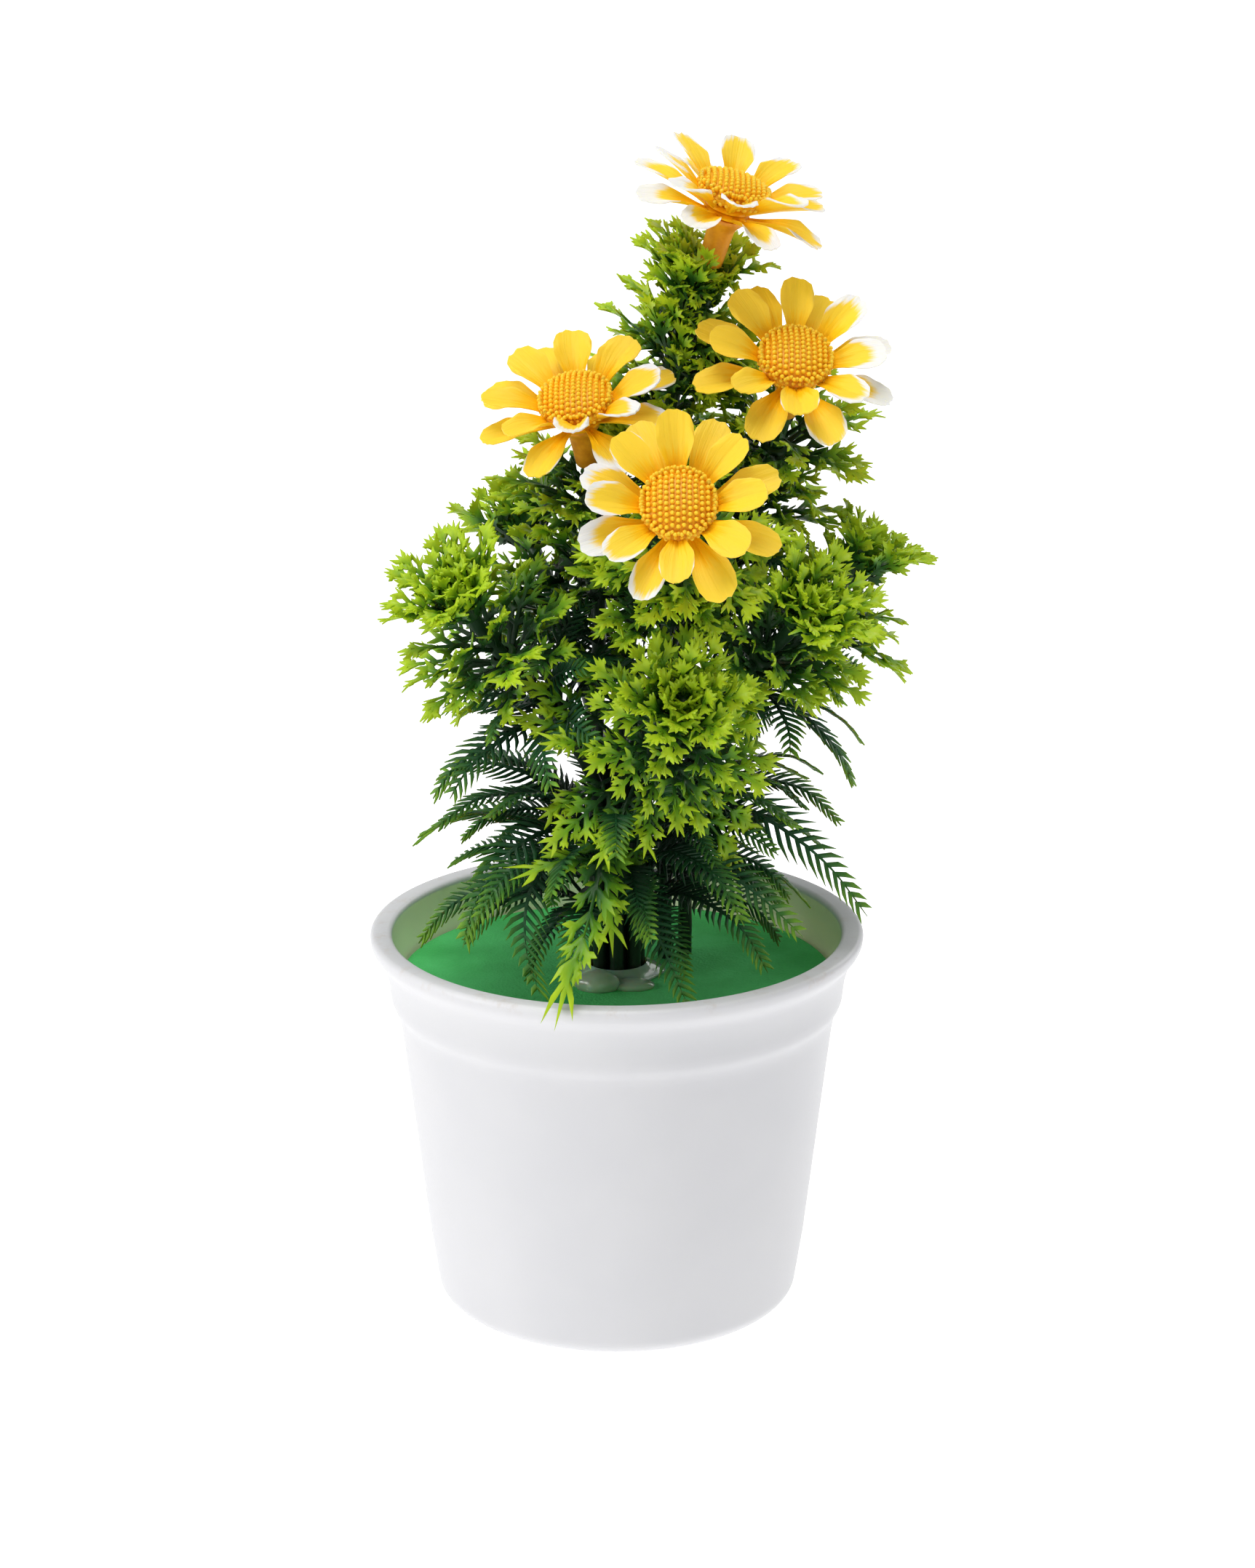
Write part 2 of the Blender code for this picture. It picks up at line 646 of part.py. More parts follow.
def head_levels():
    """Heights above the calyx's flange of the lower ring's middle, the upper ring's and the centre's foot."""
    lower = GAP + PETAL_HUB_HEIGHT / 2
    upper = lower + PETAL_HUB_HEIGHT + GAP
    centre = upper + PETAL_HUB_HEIGHT / 2 + GAP
    return lower, upper, centre


def make_calyx(name, frame, collection, material):
    """The tube that is pushed on the stem's peg, with a flange and a spigot that carry the rest."""
    _, _, centre = head_levels()
    top = centre + SPIGOT_IN_CENTRE - GAP
    foot = -CALYX_LENGTH
    bore = STEM_RADIUS + GAP
    profile = [(0.0, top), (SPIGOT_RADIUS, top), (SPIGOT_RADIUS, 0.0), (FLANGE_RADIUS, 0.0),
               (FLANGE_RADIUS, -FLANGE_HEIGHT), (CALYX_RADIUS, -2 * FLANGE_HEIGHT), (CALYX_FOOT_RADIUS, foot),
               (bore, foot), (bore, foot + CALYX_BORE_DEPTH), (0.0, foot + CALYX_BORE_DEPTH)]
    turned(name, profile, TURNED_SEGMENTS, collection, material, frame)


def make_petal_ring(name, frame, rise, reach, first_angle, collection, material):
    whorl = Whorl(SPIGOT_RADIUS + 2 * GAP, PETAL_HUB_RADIUS, PETAL_HUB_HEIGHT, HEAD_PETALS, first_angle)
    outline = [(share, PETAL_HALF_WIDTH * width) for share, width in PETAL_OUTLINE]
    for petal in range(HEAD_PETALS):
        sections = blade_sections(whorl.root(petal), whorl.out(petal), reach - PETAL_HUB_RADIUS, rise,
                                  PETAL_BEND, outline, PETAL_THICKNESS)
        whorl.add_blade(petal, sections)
    whorl.finish(name, frame, collection, material)


def make_centre(name, frame, collection, material):
    """The domed tuft, pressed over the spigot by the socket in its foot."""
    _, _, foot = head_levels()
    socket = SPIGOT_RADIUS + 2 * GAP
    dome = [(CENTRE_RADIUS * across, foot + CENTRE_HEIGHT * up) for across, up in CENTRE_OUTLINE]
    profile = dome + [(socket, foot), (socket, foot + SPIGOT_IN_CENTRE), (0.0, foot + SPIGOT_IN_CENTRE)]
    turned(name, profile, CENTRE_SEGMENTS, collection, material, frame)


def make_head(name, collection, materials):
    frame = head_frame(name)
    lower, upper, _ = head_levels()
    yellow = materials["yellow_petal"]
    half_step = 180.0 / HEAD_PETALS
    make_calyx(f"{name}_calyx", frame, collection, materials["orange_calyx"])
    make_petal_ring(f"{name}_lower_petals", frame @ Matrix.Translation((0, 0, lower)), LOWER_RISE,
                    PETAL_REACH, half_step, collection, yellow)
    make_petal_ring(f"{name}_upper_petals", frame @ Matrix.Translation((0, 0, upper)), UPPER_RISE,
                    PETAL_REACH * UPPER_SHARE, 0.0, collection, yellow)
    make_centre(f"{name}_centre", frame, collection, materials["golden_centre"])


def head_sweep(frame):
    """The skin of the space that a turning head sweeps, as points and faces in the world."""
    lower, upper, centre = head_levels()
    reach = PETAL_REACH + GAP
    low_tip = lower + reach * math.sin(math.radians(LOWER_RISE + PETAL_BEND)) - PETAL_HALF_WIDTH / 2
    high_tip = upper + reach * math.sin(math.radians(UPPER_RISE))
    profile = [(CALYX_FOOT_RADIUS, -CALYX_LENGTH), (CALYX_RADIUS, -2 * FLANGE_HEIGHT),
               (FLANGE_RADIUS, -FLANGE_HEIGHT), (reach, low_tip), (reach, high_tip),
               (CENTRE_RADIUS, centre + CENTRE_HEIGHT)]
    segments = 24
    angles = [2 * math.pi * i / segments for i in range(segments)]
    points = [frame @ Vector((radius * math.cos(a), radius * math.sin(a), height))
              for radius, height in profile for a in angles]
    faces = []
    for row in range(len(profile) - 1):
        low, high = row * segments, (row + 1) * segments
        for i in range(segments):
            j = (i + 1) % segments
            faces.append((low + i, low + j, high + j, high + i))
    return points, faces


# ---------------------------------------------------------------- the whole bush


def main():
    clear_scene()
    collection = make_collection("artificial_daisy_bush")
    cutters = make_collection("cutters")
    materials = {name: make_material(name) for name in COLOURS}
    make_pot(collection, materials["white_plastic"])
    make_plug(collection, cutters, materials["pale_foam"])
    make_disc(collection, cutters, materials["green_foam"])
    make_glue(collection, materials["clear_glue"])
    lines = {name: stem_line(name) for name in (*HEAD_SEAT, *BRANCH_TIP)}
    for name, line in lines.items():
        make_stem(name, line, collection, materials["stem_plastic"])
    bpy.context.view_layer.update()

    around = Surroundings()
    for obj in collection.objects:
        around.add_object(obj)
    for name in HEAD_SEAT:
        make_head(name, collection, materials)
        around.add(*head_sweep(head_frame(name)))
    whorls = planned_whorls(lines)
    for whorl in whorls:
        whorl.add_hub_to(around)
    for whorl in whorls:
        whorl.make(around, collection, materials["fern_leaf" if whorl.is_fern else "lime_leaf"])


main()
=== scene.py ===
import json
import math
import random

import bpy
import numpy as np
from mathutils import Matrix, Vector
from mathutils.geometry import delaunay_2d_cdt


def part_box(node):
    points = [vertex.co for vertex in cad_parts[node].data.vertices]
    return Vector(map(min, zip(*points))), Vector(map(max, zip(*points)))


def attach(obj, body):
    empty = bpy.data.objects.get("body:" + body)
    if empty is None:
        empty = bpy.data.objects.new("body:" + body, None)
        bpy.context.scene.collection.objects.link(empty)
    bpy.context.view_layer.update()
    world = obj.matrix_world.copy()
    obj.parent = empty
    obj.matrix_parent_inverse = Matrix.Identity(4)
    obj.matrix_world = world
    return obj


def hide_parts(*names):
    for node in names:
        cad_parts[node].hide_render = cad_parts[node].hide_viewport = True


# The looks of the artificial daisy bush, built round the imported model. Metres, +Z up, -Y is the front.
#
# Each leaf, stem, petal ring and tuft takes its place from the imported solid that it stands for. Leaves are
# flat patterns, made once in a few variants, that are laid on the leaves' own centre lines.

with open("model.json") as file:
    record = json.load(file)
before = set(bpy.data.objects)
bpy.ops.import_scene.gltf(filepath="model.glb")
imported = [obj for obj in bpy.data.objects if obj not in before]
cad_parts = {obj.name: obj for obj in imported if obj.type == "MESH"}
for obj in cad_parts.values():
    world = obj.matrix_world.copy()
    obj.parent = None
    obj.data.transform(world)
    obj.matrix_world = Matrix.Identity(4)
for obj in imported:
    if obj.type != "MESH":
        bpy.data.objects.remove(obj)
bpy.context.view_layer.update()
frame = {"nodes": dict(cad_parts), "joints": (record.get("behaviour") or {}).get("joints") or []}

MM = 0.001
SEED = 7
rng = random.Random(SEED)
BUSH = "bush"


# ---- camera and stage


CAMERA_PLACE = (0.00194, -0.66945, 0.30456)
CAMERA_PITCH = 17.093
CAMERA_LENS = 88.9
FLOOR_SIZE = 12.0
FLOOR_GLOW = 1.22
WORLD_GLOW = 0.36
# Each lamp's name, place, size, power in watts and colour. They all aim at the middle of the bush.
LAMPS = (
    ("key", (-1.0, -0.40, 0.50), 0.5, 4.2, (1.0, 0.99, 0.975)),
    ("top", (-0.10, -0.18, 1.25), 0.8, 9.2, (1.0, 1.0, 1.0)),
    ("back", (0.55, 0.75, 0.60), 0.5, 1.6, (1.0, 1.0, 1.0)),
)
LAMP_TARGET = Vector((0.0, 0.0, 0.12))


def make_camera():
    camera = bpy.data.objects.new("camera", bpy.data.cameras.new("camera"))
    camera.data.lens = CAMERA_LENS
    camera.data.sensor_width = 36.0
    camera.data.clip_start = 0.01
    camera.location = CAMERA_PLACE
    camera.rotation_euler = (math.radians(90 - CAMERA_PITCH), 0, 0)
    bpy.context.scene.collection.objects.link(camera)
    bpy.context.scene.camera = camera


def make_lamp(name, place, size, power, colour):
    lamp = bpy.data.lights.new(name, "AREA")
    lamp.shape = "DISK"
    lamp.size = size
    lamp.energy = power
    lamp.color = colour
    light = bpy.data.objects.new(name, lamp)
    light.location = place
    light.rotation_euler = (LAMP_TARGET - Vector(place)).to_track_quat("-Z", "Y").to_euler()
    bpy.context.scene.collection.objects.link(light)


def make_stage():
    """A wide white floor that fills the view, dim light from all round, and three soft lamps."""
    bpy.context.scene.view_settings.view_transform = "Standard"
    world = bpy.data.worlds.new("studio")
    world.use_nodes = True
    background = world.node_tree.nodes["Background"]
    background.inputs["Color"].default_value = (0.97, 0.985, 1.0, 1.0)
    background.inputs["Strength"].default_value = WORLD_GLOW
    bpy.context.scene.world = world

    for lamp in LAMPS:
        make_lamp(*lamp)
    mesh = bpy.data.meshes.new("floor")
    half = FLOOR_SIZE / 2
    corners = [(x, y, -0.02 * MM) for x, y in ((-half, -half), (half, -half), (half, half), (-half, half))]
    mesh.from_pydata(corners, [], [(0, 1, 2, 3)])
    floor = bpy.data.objects.new("floor", mesh)
    bpy.context.scene.collection.objects.link(floor)
    look = Look("studio_paper", roughness=0.9)
    look.colour(look.mix(look.noise(3.0), (0.10, 0.10, 0.098), (0.12, 0.12, 0.118)))
    look.shader.inputs["Emission Color"].default_value = (1.0, 1.0, 1.0, 1.0)
    look.shader.inputs["Emission Strength"].default_value = FLOOR_GLOW
    mesh.materials.append(look.material)


# ---- materials


class Look:
    """A material and short ways to add the nodes that drive it."""

    def __init__(self, name, roughness=0.5, **sockets):
        self.material = bpy.data.materials.new(name)
        self.material.use_nodes = True
        self.tree = self.material.node_tree
        self.shader = self.tree.nodes["Principled BSDF"]
        self.shader.inputs["Roughness"].default_value = roughness
        for socket, value in sockets.items():
            self.shader.inputs[socket.replace("_", " ")].default_value = value

    def node(self, kind, inputs=None, **settings):
        node = self.tree.nodes.new(kind)
        for setting, value in settings.items():
            setattr(node, setting, value)
        for socket, value in (inputs or {}).items():
            self.feed(node.inputs[socket], value)
        return node

    def feed(self, socket, value):
        if isinstance(value, bpy.types.NodeSocket):
            self.tree.links.new(value, socket)
        else:
            socket.default_value = value

    def place(self):
        return self.node("ShaderNodeTexCoord").outputs["Object"]

    def mark(self, name):
        """A number that the mesh carries at each point."""
        return self.node("ShaderNodeAttribute", attribute_name=name).outputs["Fac"]

    def noise(self, scale, detail=3.0, roughness=0.55, at=None):
        inputs = {"Vector": at or self.place(), "Scale": scale, "Detail": detail, "Roughness": roughness}
        return self.node("ShaderNodeTexNoise", inputs).outputs["Fac"]

    def cells(self, scale):
        """The distance to the nearest of scattered dots."""
        inputs = {"Vector": self.place(), "Scale": scale}
        return self.node("ShaderNodeTexVoronoi", inputs).outputs["Distance"]

    def maths(self, operation, a, b, c=None):
        inputs = {0: a, 1: b} if c is None else {0: a, 1: b, 2: c}
        return self.node("ShaderNodeMath", inputs, operation=operation).outputs["Value"]

    def span(self, value, low, high, to_low=0.0, to_high=1.0):
        """The value from low to high, smoothly made to run from to_low to to_high."""
        inputs = {"Value": value, "From Min": low, "From Max": high, "To Min": to_low, "To Max": to_high}
        node = self.node("ShaderNodeMapRange", inputs, interpolation_type="SMOOTHSTEP")
        return node.outputs["Result"]

    def mix(self, share, first, second):
        node = self.node("ShaderNodeMix", data_type="RGBA")
        self.feed(node.inputs["Factor"], share)
        for socket, value in ((node.inputs[6], first), (node.inputs[7], second)):
            self.feed(socket, (*value, 1.0) if isinstance(value, tuple) else value)
        return node.outputs[2]

    def blend(self, pattern, first, second, start=0.3, end=0.7):
        """From the first colour to the second as the pattern runs from start to end."""
        return self.mix(self.span(pattern, start, end), first, second)

    def ramp(self, value, stops):
        node = self.node("ShaderNodeValToRGB", {"Fac": value})
        elements = node.color_ramp.elements
        while len(elements) < len(stops):
            elements.new(0.5)
        for element, (position, colour) in zip(elements, stops):
            element.position = position
            element.color = (*colour, 1.0)
        return node.outputs["Color"]

    def colour(self, value):
        self.feed(self.shader.inputs["Base Color"], value)

    def rough(self, pattern, least, most, start=0.3, end=0.7):
        self.feed(self.shader.inputs["Roughness"], self.span(pattern, start, end, least, most))

    def bump(self, height, distance, strength):
        node = self.node("ShaderNodeBump", {"Height": height, "Distance": distance, "Strength": strength})
        self.feed(self.shader.inputs["Normal"], node.outputs["Normal"])


def leaf_look(name, stops):
    """Moulded leaf plastic, dark at the hub and paler to the tips, with brushed-on unevenness."""
    look = Look(name, Specular_IOR_Level=0.28, Subsurface_Weight=0.08, Subsurface_Scale=0.002)
    blotches = look.noise(90.0, 2.0)
    grain = look.noise(1400.0, 3.0)
    # The shade mark is partly each frond's own tone and partly painted shade on fronds low, inner and in
    # lower whorls.
    shade = look.maths("MULTIPLY_ADD", look.mark("shade"), 0.55, look.mark("tone"))
    uneven = look.maths("MULTIPLY_ADD", blotches, 0.34, -0.17)
    look.colour(look.ramp(look.maths("ADD", shade, uneven), stops))
    look.rough(grain, 0.36, 0.52)
    look.bump(look.maths("MULTIPLY_ADD", grain, 0.5, blotches), 0.12 * MM, 0.6)
    return look


def stem_look():
    look = Look("stem_plastic_dark", Specular_IOR_Level=0.4)
    grain = look.noise(700.0)
    tone = look.maths("ADD", look.mark("tone"), look.maths("MULTIPLY_ADD", grain, 0.3, -0.15))
    look.colour(look.ramp(tone, (
        (0.1, (0.006, 0.018, 0.009)), (0.6, (0.012, 0.050, 0.016)), (1.0, (0.035, 0.130, 0.020)))))
    look.rough(grain, 0.34, 0.50)
    look.bump(grain, 0.1 * MM, 0.5)
    return look


def petal_look():
    """Yellow plastic with streaks along the petal, and white where its edge was dipped."""
    look = Look("petal_plastic", Specular_IOR_Level=0.2, Subsurface_Weight=0.3, Subsurface_Scale=0.003,
                Subsurface_Radius=(1.0, 0.8, 0.2))
    stretched = look.node("ShaderNodeCombineXYZ", {
        "X": look.maths("MULTIPLY", look.mark("across"), 7.0),
        "Y": look.maths("MULTIPLY", look.mark("along"), 1.3),
        "Z": look.maths("MULTIPLY", look.mark("shade"), 40.0)})
    streaks = look.noise(1.0, 3.0, 0.6, stretched.outputs["Vector"])
    patches = look.noise(120.0, 2.0)
    body = look.maths("MULTIPLY_ADD", streaks, 0.55, look.mark("along"))
    yellow = look.ramp(look.maths("MULTIPLY_ADD", patches, 0.3, body), (
        (0.15, (0.98, 0.40, 0.001)), (0.55, (1.0, 0.47, 0.002)), (0.85, (1.0, 0.52, 0.006)),
        (1.0, (1.0, 0.62, 0.04))))
    edge = look.maths("MULTIPLY_ADD", look.maths("SUBTRACT", streaks, 0.5), 0.55, look.mark("white"))
    look.colour(look.blend(edge, yellow, (0.84, 0.84, 0.78), 0.42, 0.72))
    look.rough(patches, 0.42, 0.55)
    look.bump(streaks, 0.25 * MM, 0.7)
    return look


def tuft_look():
    look = Look("tuft_plastic", Specular_IOR_Level=0.3, Subsurface_Weight=0.4, Subsurface_Scale=0.004,
                Subsurface_Radius=(1.0, 0.7, 0.3))
    patches = look.noise(160.0, 2.0)
    look.colour(look.ramp(look.maths("MULTIPLY_ADD", patches, 0.35, look.mark("tone")), (
        (0.1, (0.96, 0.40, 0.004)), (0.5, (1.0, 0.49, 0.008)), (0.9, (1.0, 0.61, 0.03)))))
    look.rough(look.noise(900.0), 0.42, 0.56)
    return look


def calyx_look():
    look = Look("calyx_plastic", Specular_IOR_Level=0.35, Subsurface_Weight=0.1, Subsurface_Scale=0.002)
    grain = look.noise(500.0)
    look.colour(look.blend(grain, (0.62, 0.24, 0.006), (0.80, 0.36, 0.012)))
    look.rough(grain, 0.40, 0.52)
    look.bump(grain, 0.1 * MM, 0.4)
    return look


def foam_look():
    """Green floral foam with fine pores."""
    look = Look("floral_foam", Specular_IOR_Level=0.2)
    clouds = look.noise(55.0, 4.0)
    look.colour(look.blend(clouds, (0.076, 0.545, 0.138), (0.115, 0.670, 0.200), 0.35, 0.65))
    look.rough(clouds, 0.8, 0.92)
    look.bump(look.maths("ADD", look.cells(1900.0), look.noise(900.0)), 0.18 * MM, 0.6)
    return look


def plug_look():
    """Pale foam made of beads, with painted shade in the seams between them."""
    look = Look("filler_foam", Specular_IOR_Level=0.2)
    beads = look.cells(420.0)
    # Painted shade: each bead is darker towards its edge, in the seams between beads.
    look.colour(look.blend(beads, (0.84, 0.85, 0.82), (0.66, 0.67, 0.64), 0.2, 0.8))
    look.rough(beads, 0.85, 0.95, 0.0, 1.0)
    look.bump(beads, 0.5 * MM, 0.7)
    return look


def glue_look():
    """Milky set glue, tinted green like the foam under it."""
    look = Look("hot_glue", Specular_IOR_Level=0.5, Transmission_Weight=0.55, Subsurface_Weight=0.5,
                Subsurface_Scale=0.003)
    haze = look.noise(160.0)
    look.colour(look.blend(haze, (0.52, 0.74, 0.50), (0.72, 0.86, 0.66)))
    look.rough(haze, 0.06, 0.16)
    look.bump(haze, 0.3 * MM, 0.4)
    return look


def pot_look():
    """White satin plastic with a rubbed, faintly tan lip and the odd dark speck. The inside wall carries
    painted light: it is painted paler and warmer than the outside.
    """
    look = Look("pot_plastic", Specular_IOR_Level=0.45, Subsurface_Weight=0.35, Subsurface_Scale=0.002,
                Subsurface_Radius=(1.0, 1.0, 0.9))
    height = look.node("ShaderNodeSeparateXYZ", {"Vector": look.place()}).outputs["Z"]
    clouds = look.noise(28.0, 3.0)
    white = look.blend(clouds, (0.672, 0.672, 0.694), (0.706, 0.704, 0.722))
    # Painted light: the inside wall is painted paler and warmer than the outside, for light that comes
    # through the thin wall.
    white = look.mix(look.mark("inside"), white, (0.95, 0.92, 0.74))
    near_lip = look.span(height, POT_HEIGHT - 2.6 * MM, POT_HEIGHT - 0.2 * MM)
    rubbed = look.maths("MULTIPLY", near_lip, look.span(look.noise(260.0, 5.0, 0.7), 0.50, 0.74))
    worn = look.mix(look.maths("MULTIPLY", rubbed, 0.32), white, (0.50, 0.40, 0.30))
    dots = look.maths("LESS_THAN", look.cells(38.0), 0.011)
    sparse = look.maths("GREATER_THAN", look.noise(24.0, 0.0), 0.56)
    speck = look.maths("MULTIPLY", dots, sparse)
    look.colour(look.mix(look.maths("MULTIPLY", speck, 0.75), worn, (0.08, 0.075, 0.07)))
    grain = look.noise(1500.0, 3.0)
    look.rough(look.maths("ADD", clouds, grain), 0.34, 0.46, 0.7, 1.3)
    look.bump(look.maths("MULTIPLY_ADD", look.noise(60.0, 1.0), 3.0, grain), 0.05 * MM, 0.35)
    return look


def make_looks():
    return {
        "lime_leaf": leaf_look("lime_leaf_plastic", (
            (0.05, (0.005, 0.030, 0.007)), (0.35, (0.020, 0.105, 0.008)),
            (0.62, (0.140, 0.330, 0.008)), (0.92, (0.400, 0.580, 0.014)))),
        "fern_leaf": leaf_look("fern_leaf_plastic", (
            (0.05, (0.006, 0.036, 0.014)), (0.50, (0.014, 0.085, 0.026)),
            (0.80, (0.045, 0.165, 0.022)), (1.0, (0.180, 0.380, 0.020)))),
        "stem_plastic": stem_look(),
        "yellow_petal": petal_look(),
        "golden_centre": tuft_look(),
        "orange_calyx": calyx_look(),
        "white_plastic": pot_look(),
        "green_foam": foam_look(),
        "pale_foam": plug_look(),
        "clear_glue": glue_look(),
    }


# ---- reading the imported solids


def welded(node):
    """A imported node's points, each one once, and its triangles."""
    mesh = frame["nodes"][node].data
    places = np.empty(len(mesh.vertices) * 3, np.float32)
    mesh.vertices.foreach_get("co", places)
    faces = np.array([polygon.vertices for polygon in mesh.polygons])
    points, index = np.unique(np.round(places.reshape(-1, 3), 6), axis=0, return_inverse=True)
    return points.astype(float), index.reshape(-1)[faces]


def links_of(count, faces):
    links = [set() for _ in range(count)]
    for face in faces:
        for point in face:
            links[point].update(face)
    return links


def spread_from(start, links, allowed):
    """The allowed points in rings, each one step further from the start."""
    seen = set(start)
    rings = [sorted(start)]
    while rings[-1]:
        onward = {n for i in rings[-1] for n in links[i] if n in allowed} - seen
        seen |= onward
        rings.append(sorted(onward))
    return rings[:-1]


def unit(vector):
    return vector / np.linalg.norm(vector)


def units(rows):
    return rows / np.linalg.norm(rows, axis=-1, keepdims=True)


def round_axis(points, place, axis):
    """How far each point is along an axis through a place, and how far out from it."""
    away = points - place
    heights = away @ axis
    return heights, np.linalg.norm(away - np.outer(heights, axis), axis=1)


def read_off(wanted, steps, rows):
    """The rows of numbers that are known at these steps, read off at the wanted ones."""
    return np.stack([np.interp(wanted, steps, column) for column in rows.T], axis=1)


def stem_line(node):
    """A stem's centre line, from its foot to its end."""
    points, faces = welded(node)
    lowest = points[:, 2].min() + 0.01 * MM
    foot = [i for i, point in enumerate(points) if point[2] < lowest]
    rings = spread_from(foot, links_of(len(points), faces), set(range(len(points))))
    return np.array([points[ring].mean(axis=0) for ring in rings])


def distance_to_line(point, line):
    starts, steps = line[:-1], np.diff(line, axis=0)
    share = np.clip(((point - starts) * steps).sum(1) / (steps**2).sum(1), 0, 1)
    return np.linalg.norm(starts + steps * share[:, None] - point, axis=1).min()


class PackedWhorl:
    """A whorl as packed: its hub's middle, axis, radii and height, and each leaf's centre line and side."""

    HUB_HALF_HEIGHT = 1.10 * MM
    HUB_POINTS = 8
    LACY_POINTS = 20
    FERN_POINTS = 24

    def __init__(self, node, line, hub_radii):
        points, faces = welded(node)
        links = links_of(len(points), faces)
        inner, outer = hub_radii
        near = [i for i, point in enumerate(points) if distance_to_line(point, line) < outer + 0.25 * MM]
        rough = np.median(points[near], axis=0)
        nearest = np.linalg.norm(line - rough, axis=1).argmin()
        onward = unit(line[min(nearest + 1, len(line) - 1)] - line[max(nearest - 1, 0)])
        # The hub has eight points for each leaf, and they are those that fit a ring round the stem best.
        up, out = round_axis(points, rough, onward)
        off_ring = np.abs(out - (inner + outer) / 2) / ((outer - inner) / 2)
        misfit = np.maximum(np.abs(up) / self.HUB_HALF_HEIGHT, off_ring)
        count = len(points) // (self.FERN_POINTS if "fern" in node else self.LACY_POINTS)
        hub = {int(i) for i in misfit.argsort()[:self.HUB_POINTS * count]}
        around = points[sorted(hub)]
        self.middle = around.mean(axis=0)
        self.axis = np.linalg.svd(around - self.middle)[2][2]
        if self.axis @ onward < 0:
            self.axis = -self.axis
        heights, radii = round_axis(around, self.middle, self.axis)
        self.bore, self.outer, self.height = radii.min(), radii.max(), np.ptp(heights)
        self.leaves = []
        for part in self.parts_of(set(range(len(points))) - hub, links):
            first = [i for i in part if links[i] & hub]
            root = sorted({n for i in first for n in links[i] & hub})
            sections = spread_from(first, links, part)
            line_out = [points[root].mean(axis=0)] + [points[s].mean(axis=0) for s in sections]
            self.leaves.append(self.leaf(np.array(line_out)))
        self.leaves.sort(key=lambda leaf: leaf["turn"])

    @staticmethod
    def parts_of(points, links):
        """The points in parts that hang together."""
        left, parts = set(points), []
        while left:
            parts.append({i for ring in spread_from([min(left)], links, left) for i in ring})
            left -= parts[-1]
        return parts

    def leaf(self, line):
        out = line[0] - self.middle
        out = unit(out - self.axis * (out @ self.axis))
        across = np.cross(self.axis, (1.0, 0.0, 0.0))
        turn = math.atan2(out @ unit(across), out @ unit(np.cross(across, self.axis)))
        # The leaf's own plane may be turned a little from its root, so its side comes from its chord.
        chord = line[-1] - line[0]
        side = np.cross(self.axis, chord)
        side = unit(side) if np.linalg.norm(side) > 0.3 * np.linalg.norm(chord) else np.cross(self.axis, out)
        return {"line": line, "side": side, "turn": turn}


# ---- gathering a piece


class Skin:
    """The surface of one piece as it is gathered, with the numbers that its material reads at each point."""

    def __init__(self, *marks):
        self.points = []
        self.faces = []
        self.marks = {name: [] for name in marks}
        self.count = 0

    def add(self, points, faces, **marks):
        self.points.append(np.asarray(points, float))
        self.faces += [tuple(int(i) + self.count for i in face) for face in faces]
        for name, values in self.marks.items():
            values.append(np.broadcast_to(np.asarray(marks.get(name, 0.0), float), len(points)))
        self.count += len(points)

    def make(self, name, body, slot, nodes=(), crease=40.0):
        mesh = bpy.data.meshes.new(name)
        mesh.from_pydata(np.vstack(self.points).tolist(), [], self.faces)
        for mark, values in self.marks.items():
            attribute = mesh.attributes.new(mark, "FLOAT", "POINT")
            attribute.data.foreach_set("value", np.concatenate(values).astype(np.float32))
        mesh.shade_smooth()
        mesh.set_sharp_from_angle(angle=math.radians(crease))
        mesh.materials.append(LOOKS[slot].material)
        piece = bpy.data.objects.new(name, mesh)
        bpy.context.scene.collection.objects.link(piece)
        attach(piece, body)
        if nodes:
            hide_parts(*nodes)


def frame_on(point, direction):
    """A frame at point whose Z runs along direction and whose X stays as near the world's X as it can."""
    z = Vector(direction).normalized()
    y = z.cross(Vector((1, 0, 0))).normalized()
    matrix = Matrix((y.cross(z), y, z)).transposed().to_4x4()
    matrix.translation = Vector(point)
    return np.array(matrix)


def carried(points, matrix):
    return points @ matrix[:3, :3].T + matrix[:3, 3]


def ring_faces(rings, sides, closed=False):
    """The faces between rings of points: closed in a loop, or with a fan at each end to two last points."""
    faces = []
    for ring in range(rings if closed else rings - 1):
        low, high = ring * sides, (ring + 1) % rings * sides
        for i in range(sides):
            j = (i + 1) % sides
            faces.append((low + i, low + j, high + j, high + i))
    if not closed:
        first, top = rings * sides, (rings - 1) * sides
        for i in range(sides):
            j = (i + 1) % sides
            faces.append((first, j, i))
            faces.append((first + 1, top + i, top + j))
    return faces


def lathe(profile, segments, closed=False):
    """A turned surface round Z. An open profile starts and ends on the axis, a closed one is a ring's."""
    angles = np.linspace(0, 2 * math.pi, segments, endpoint=False)
    inner = profile if closed else profile[1:-1]
    points = np.concatenate([np.stack([r * np.cos(angles), r * np.sin(angles), np.full(segments, z)], 1)
                             for r, z in inner])
    if not closed:
        points = np.vstack([points, (0, 0, profile[0][1]), (0, 0, profile[-1][1])])
    return points, ring_faces(len(inner), segments, closed)


def in_mm(*pairs):
    return [(radius * MM, height * MM) for radius, height in pairs]


def arc(middle, radius, start, end, steps):
    """Points on a quarter turn or so of a profile, as (radius, height) pairs."""
    angles = np.radians(np.linspace(start, end, steps))
    return [(middle[0] + radius * math.cos(a), middle[1] + radius * math.sin(a)) for a in angles]


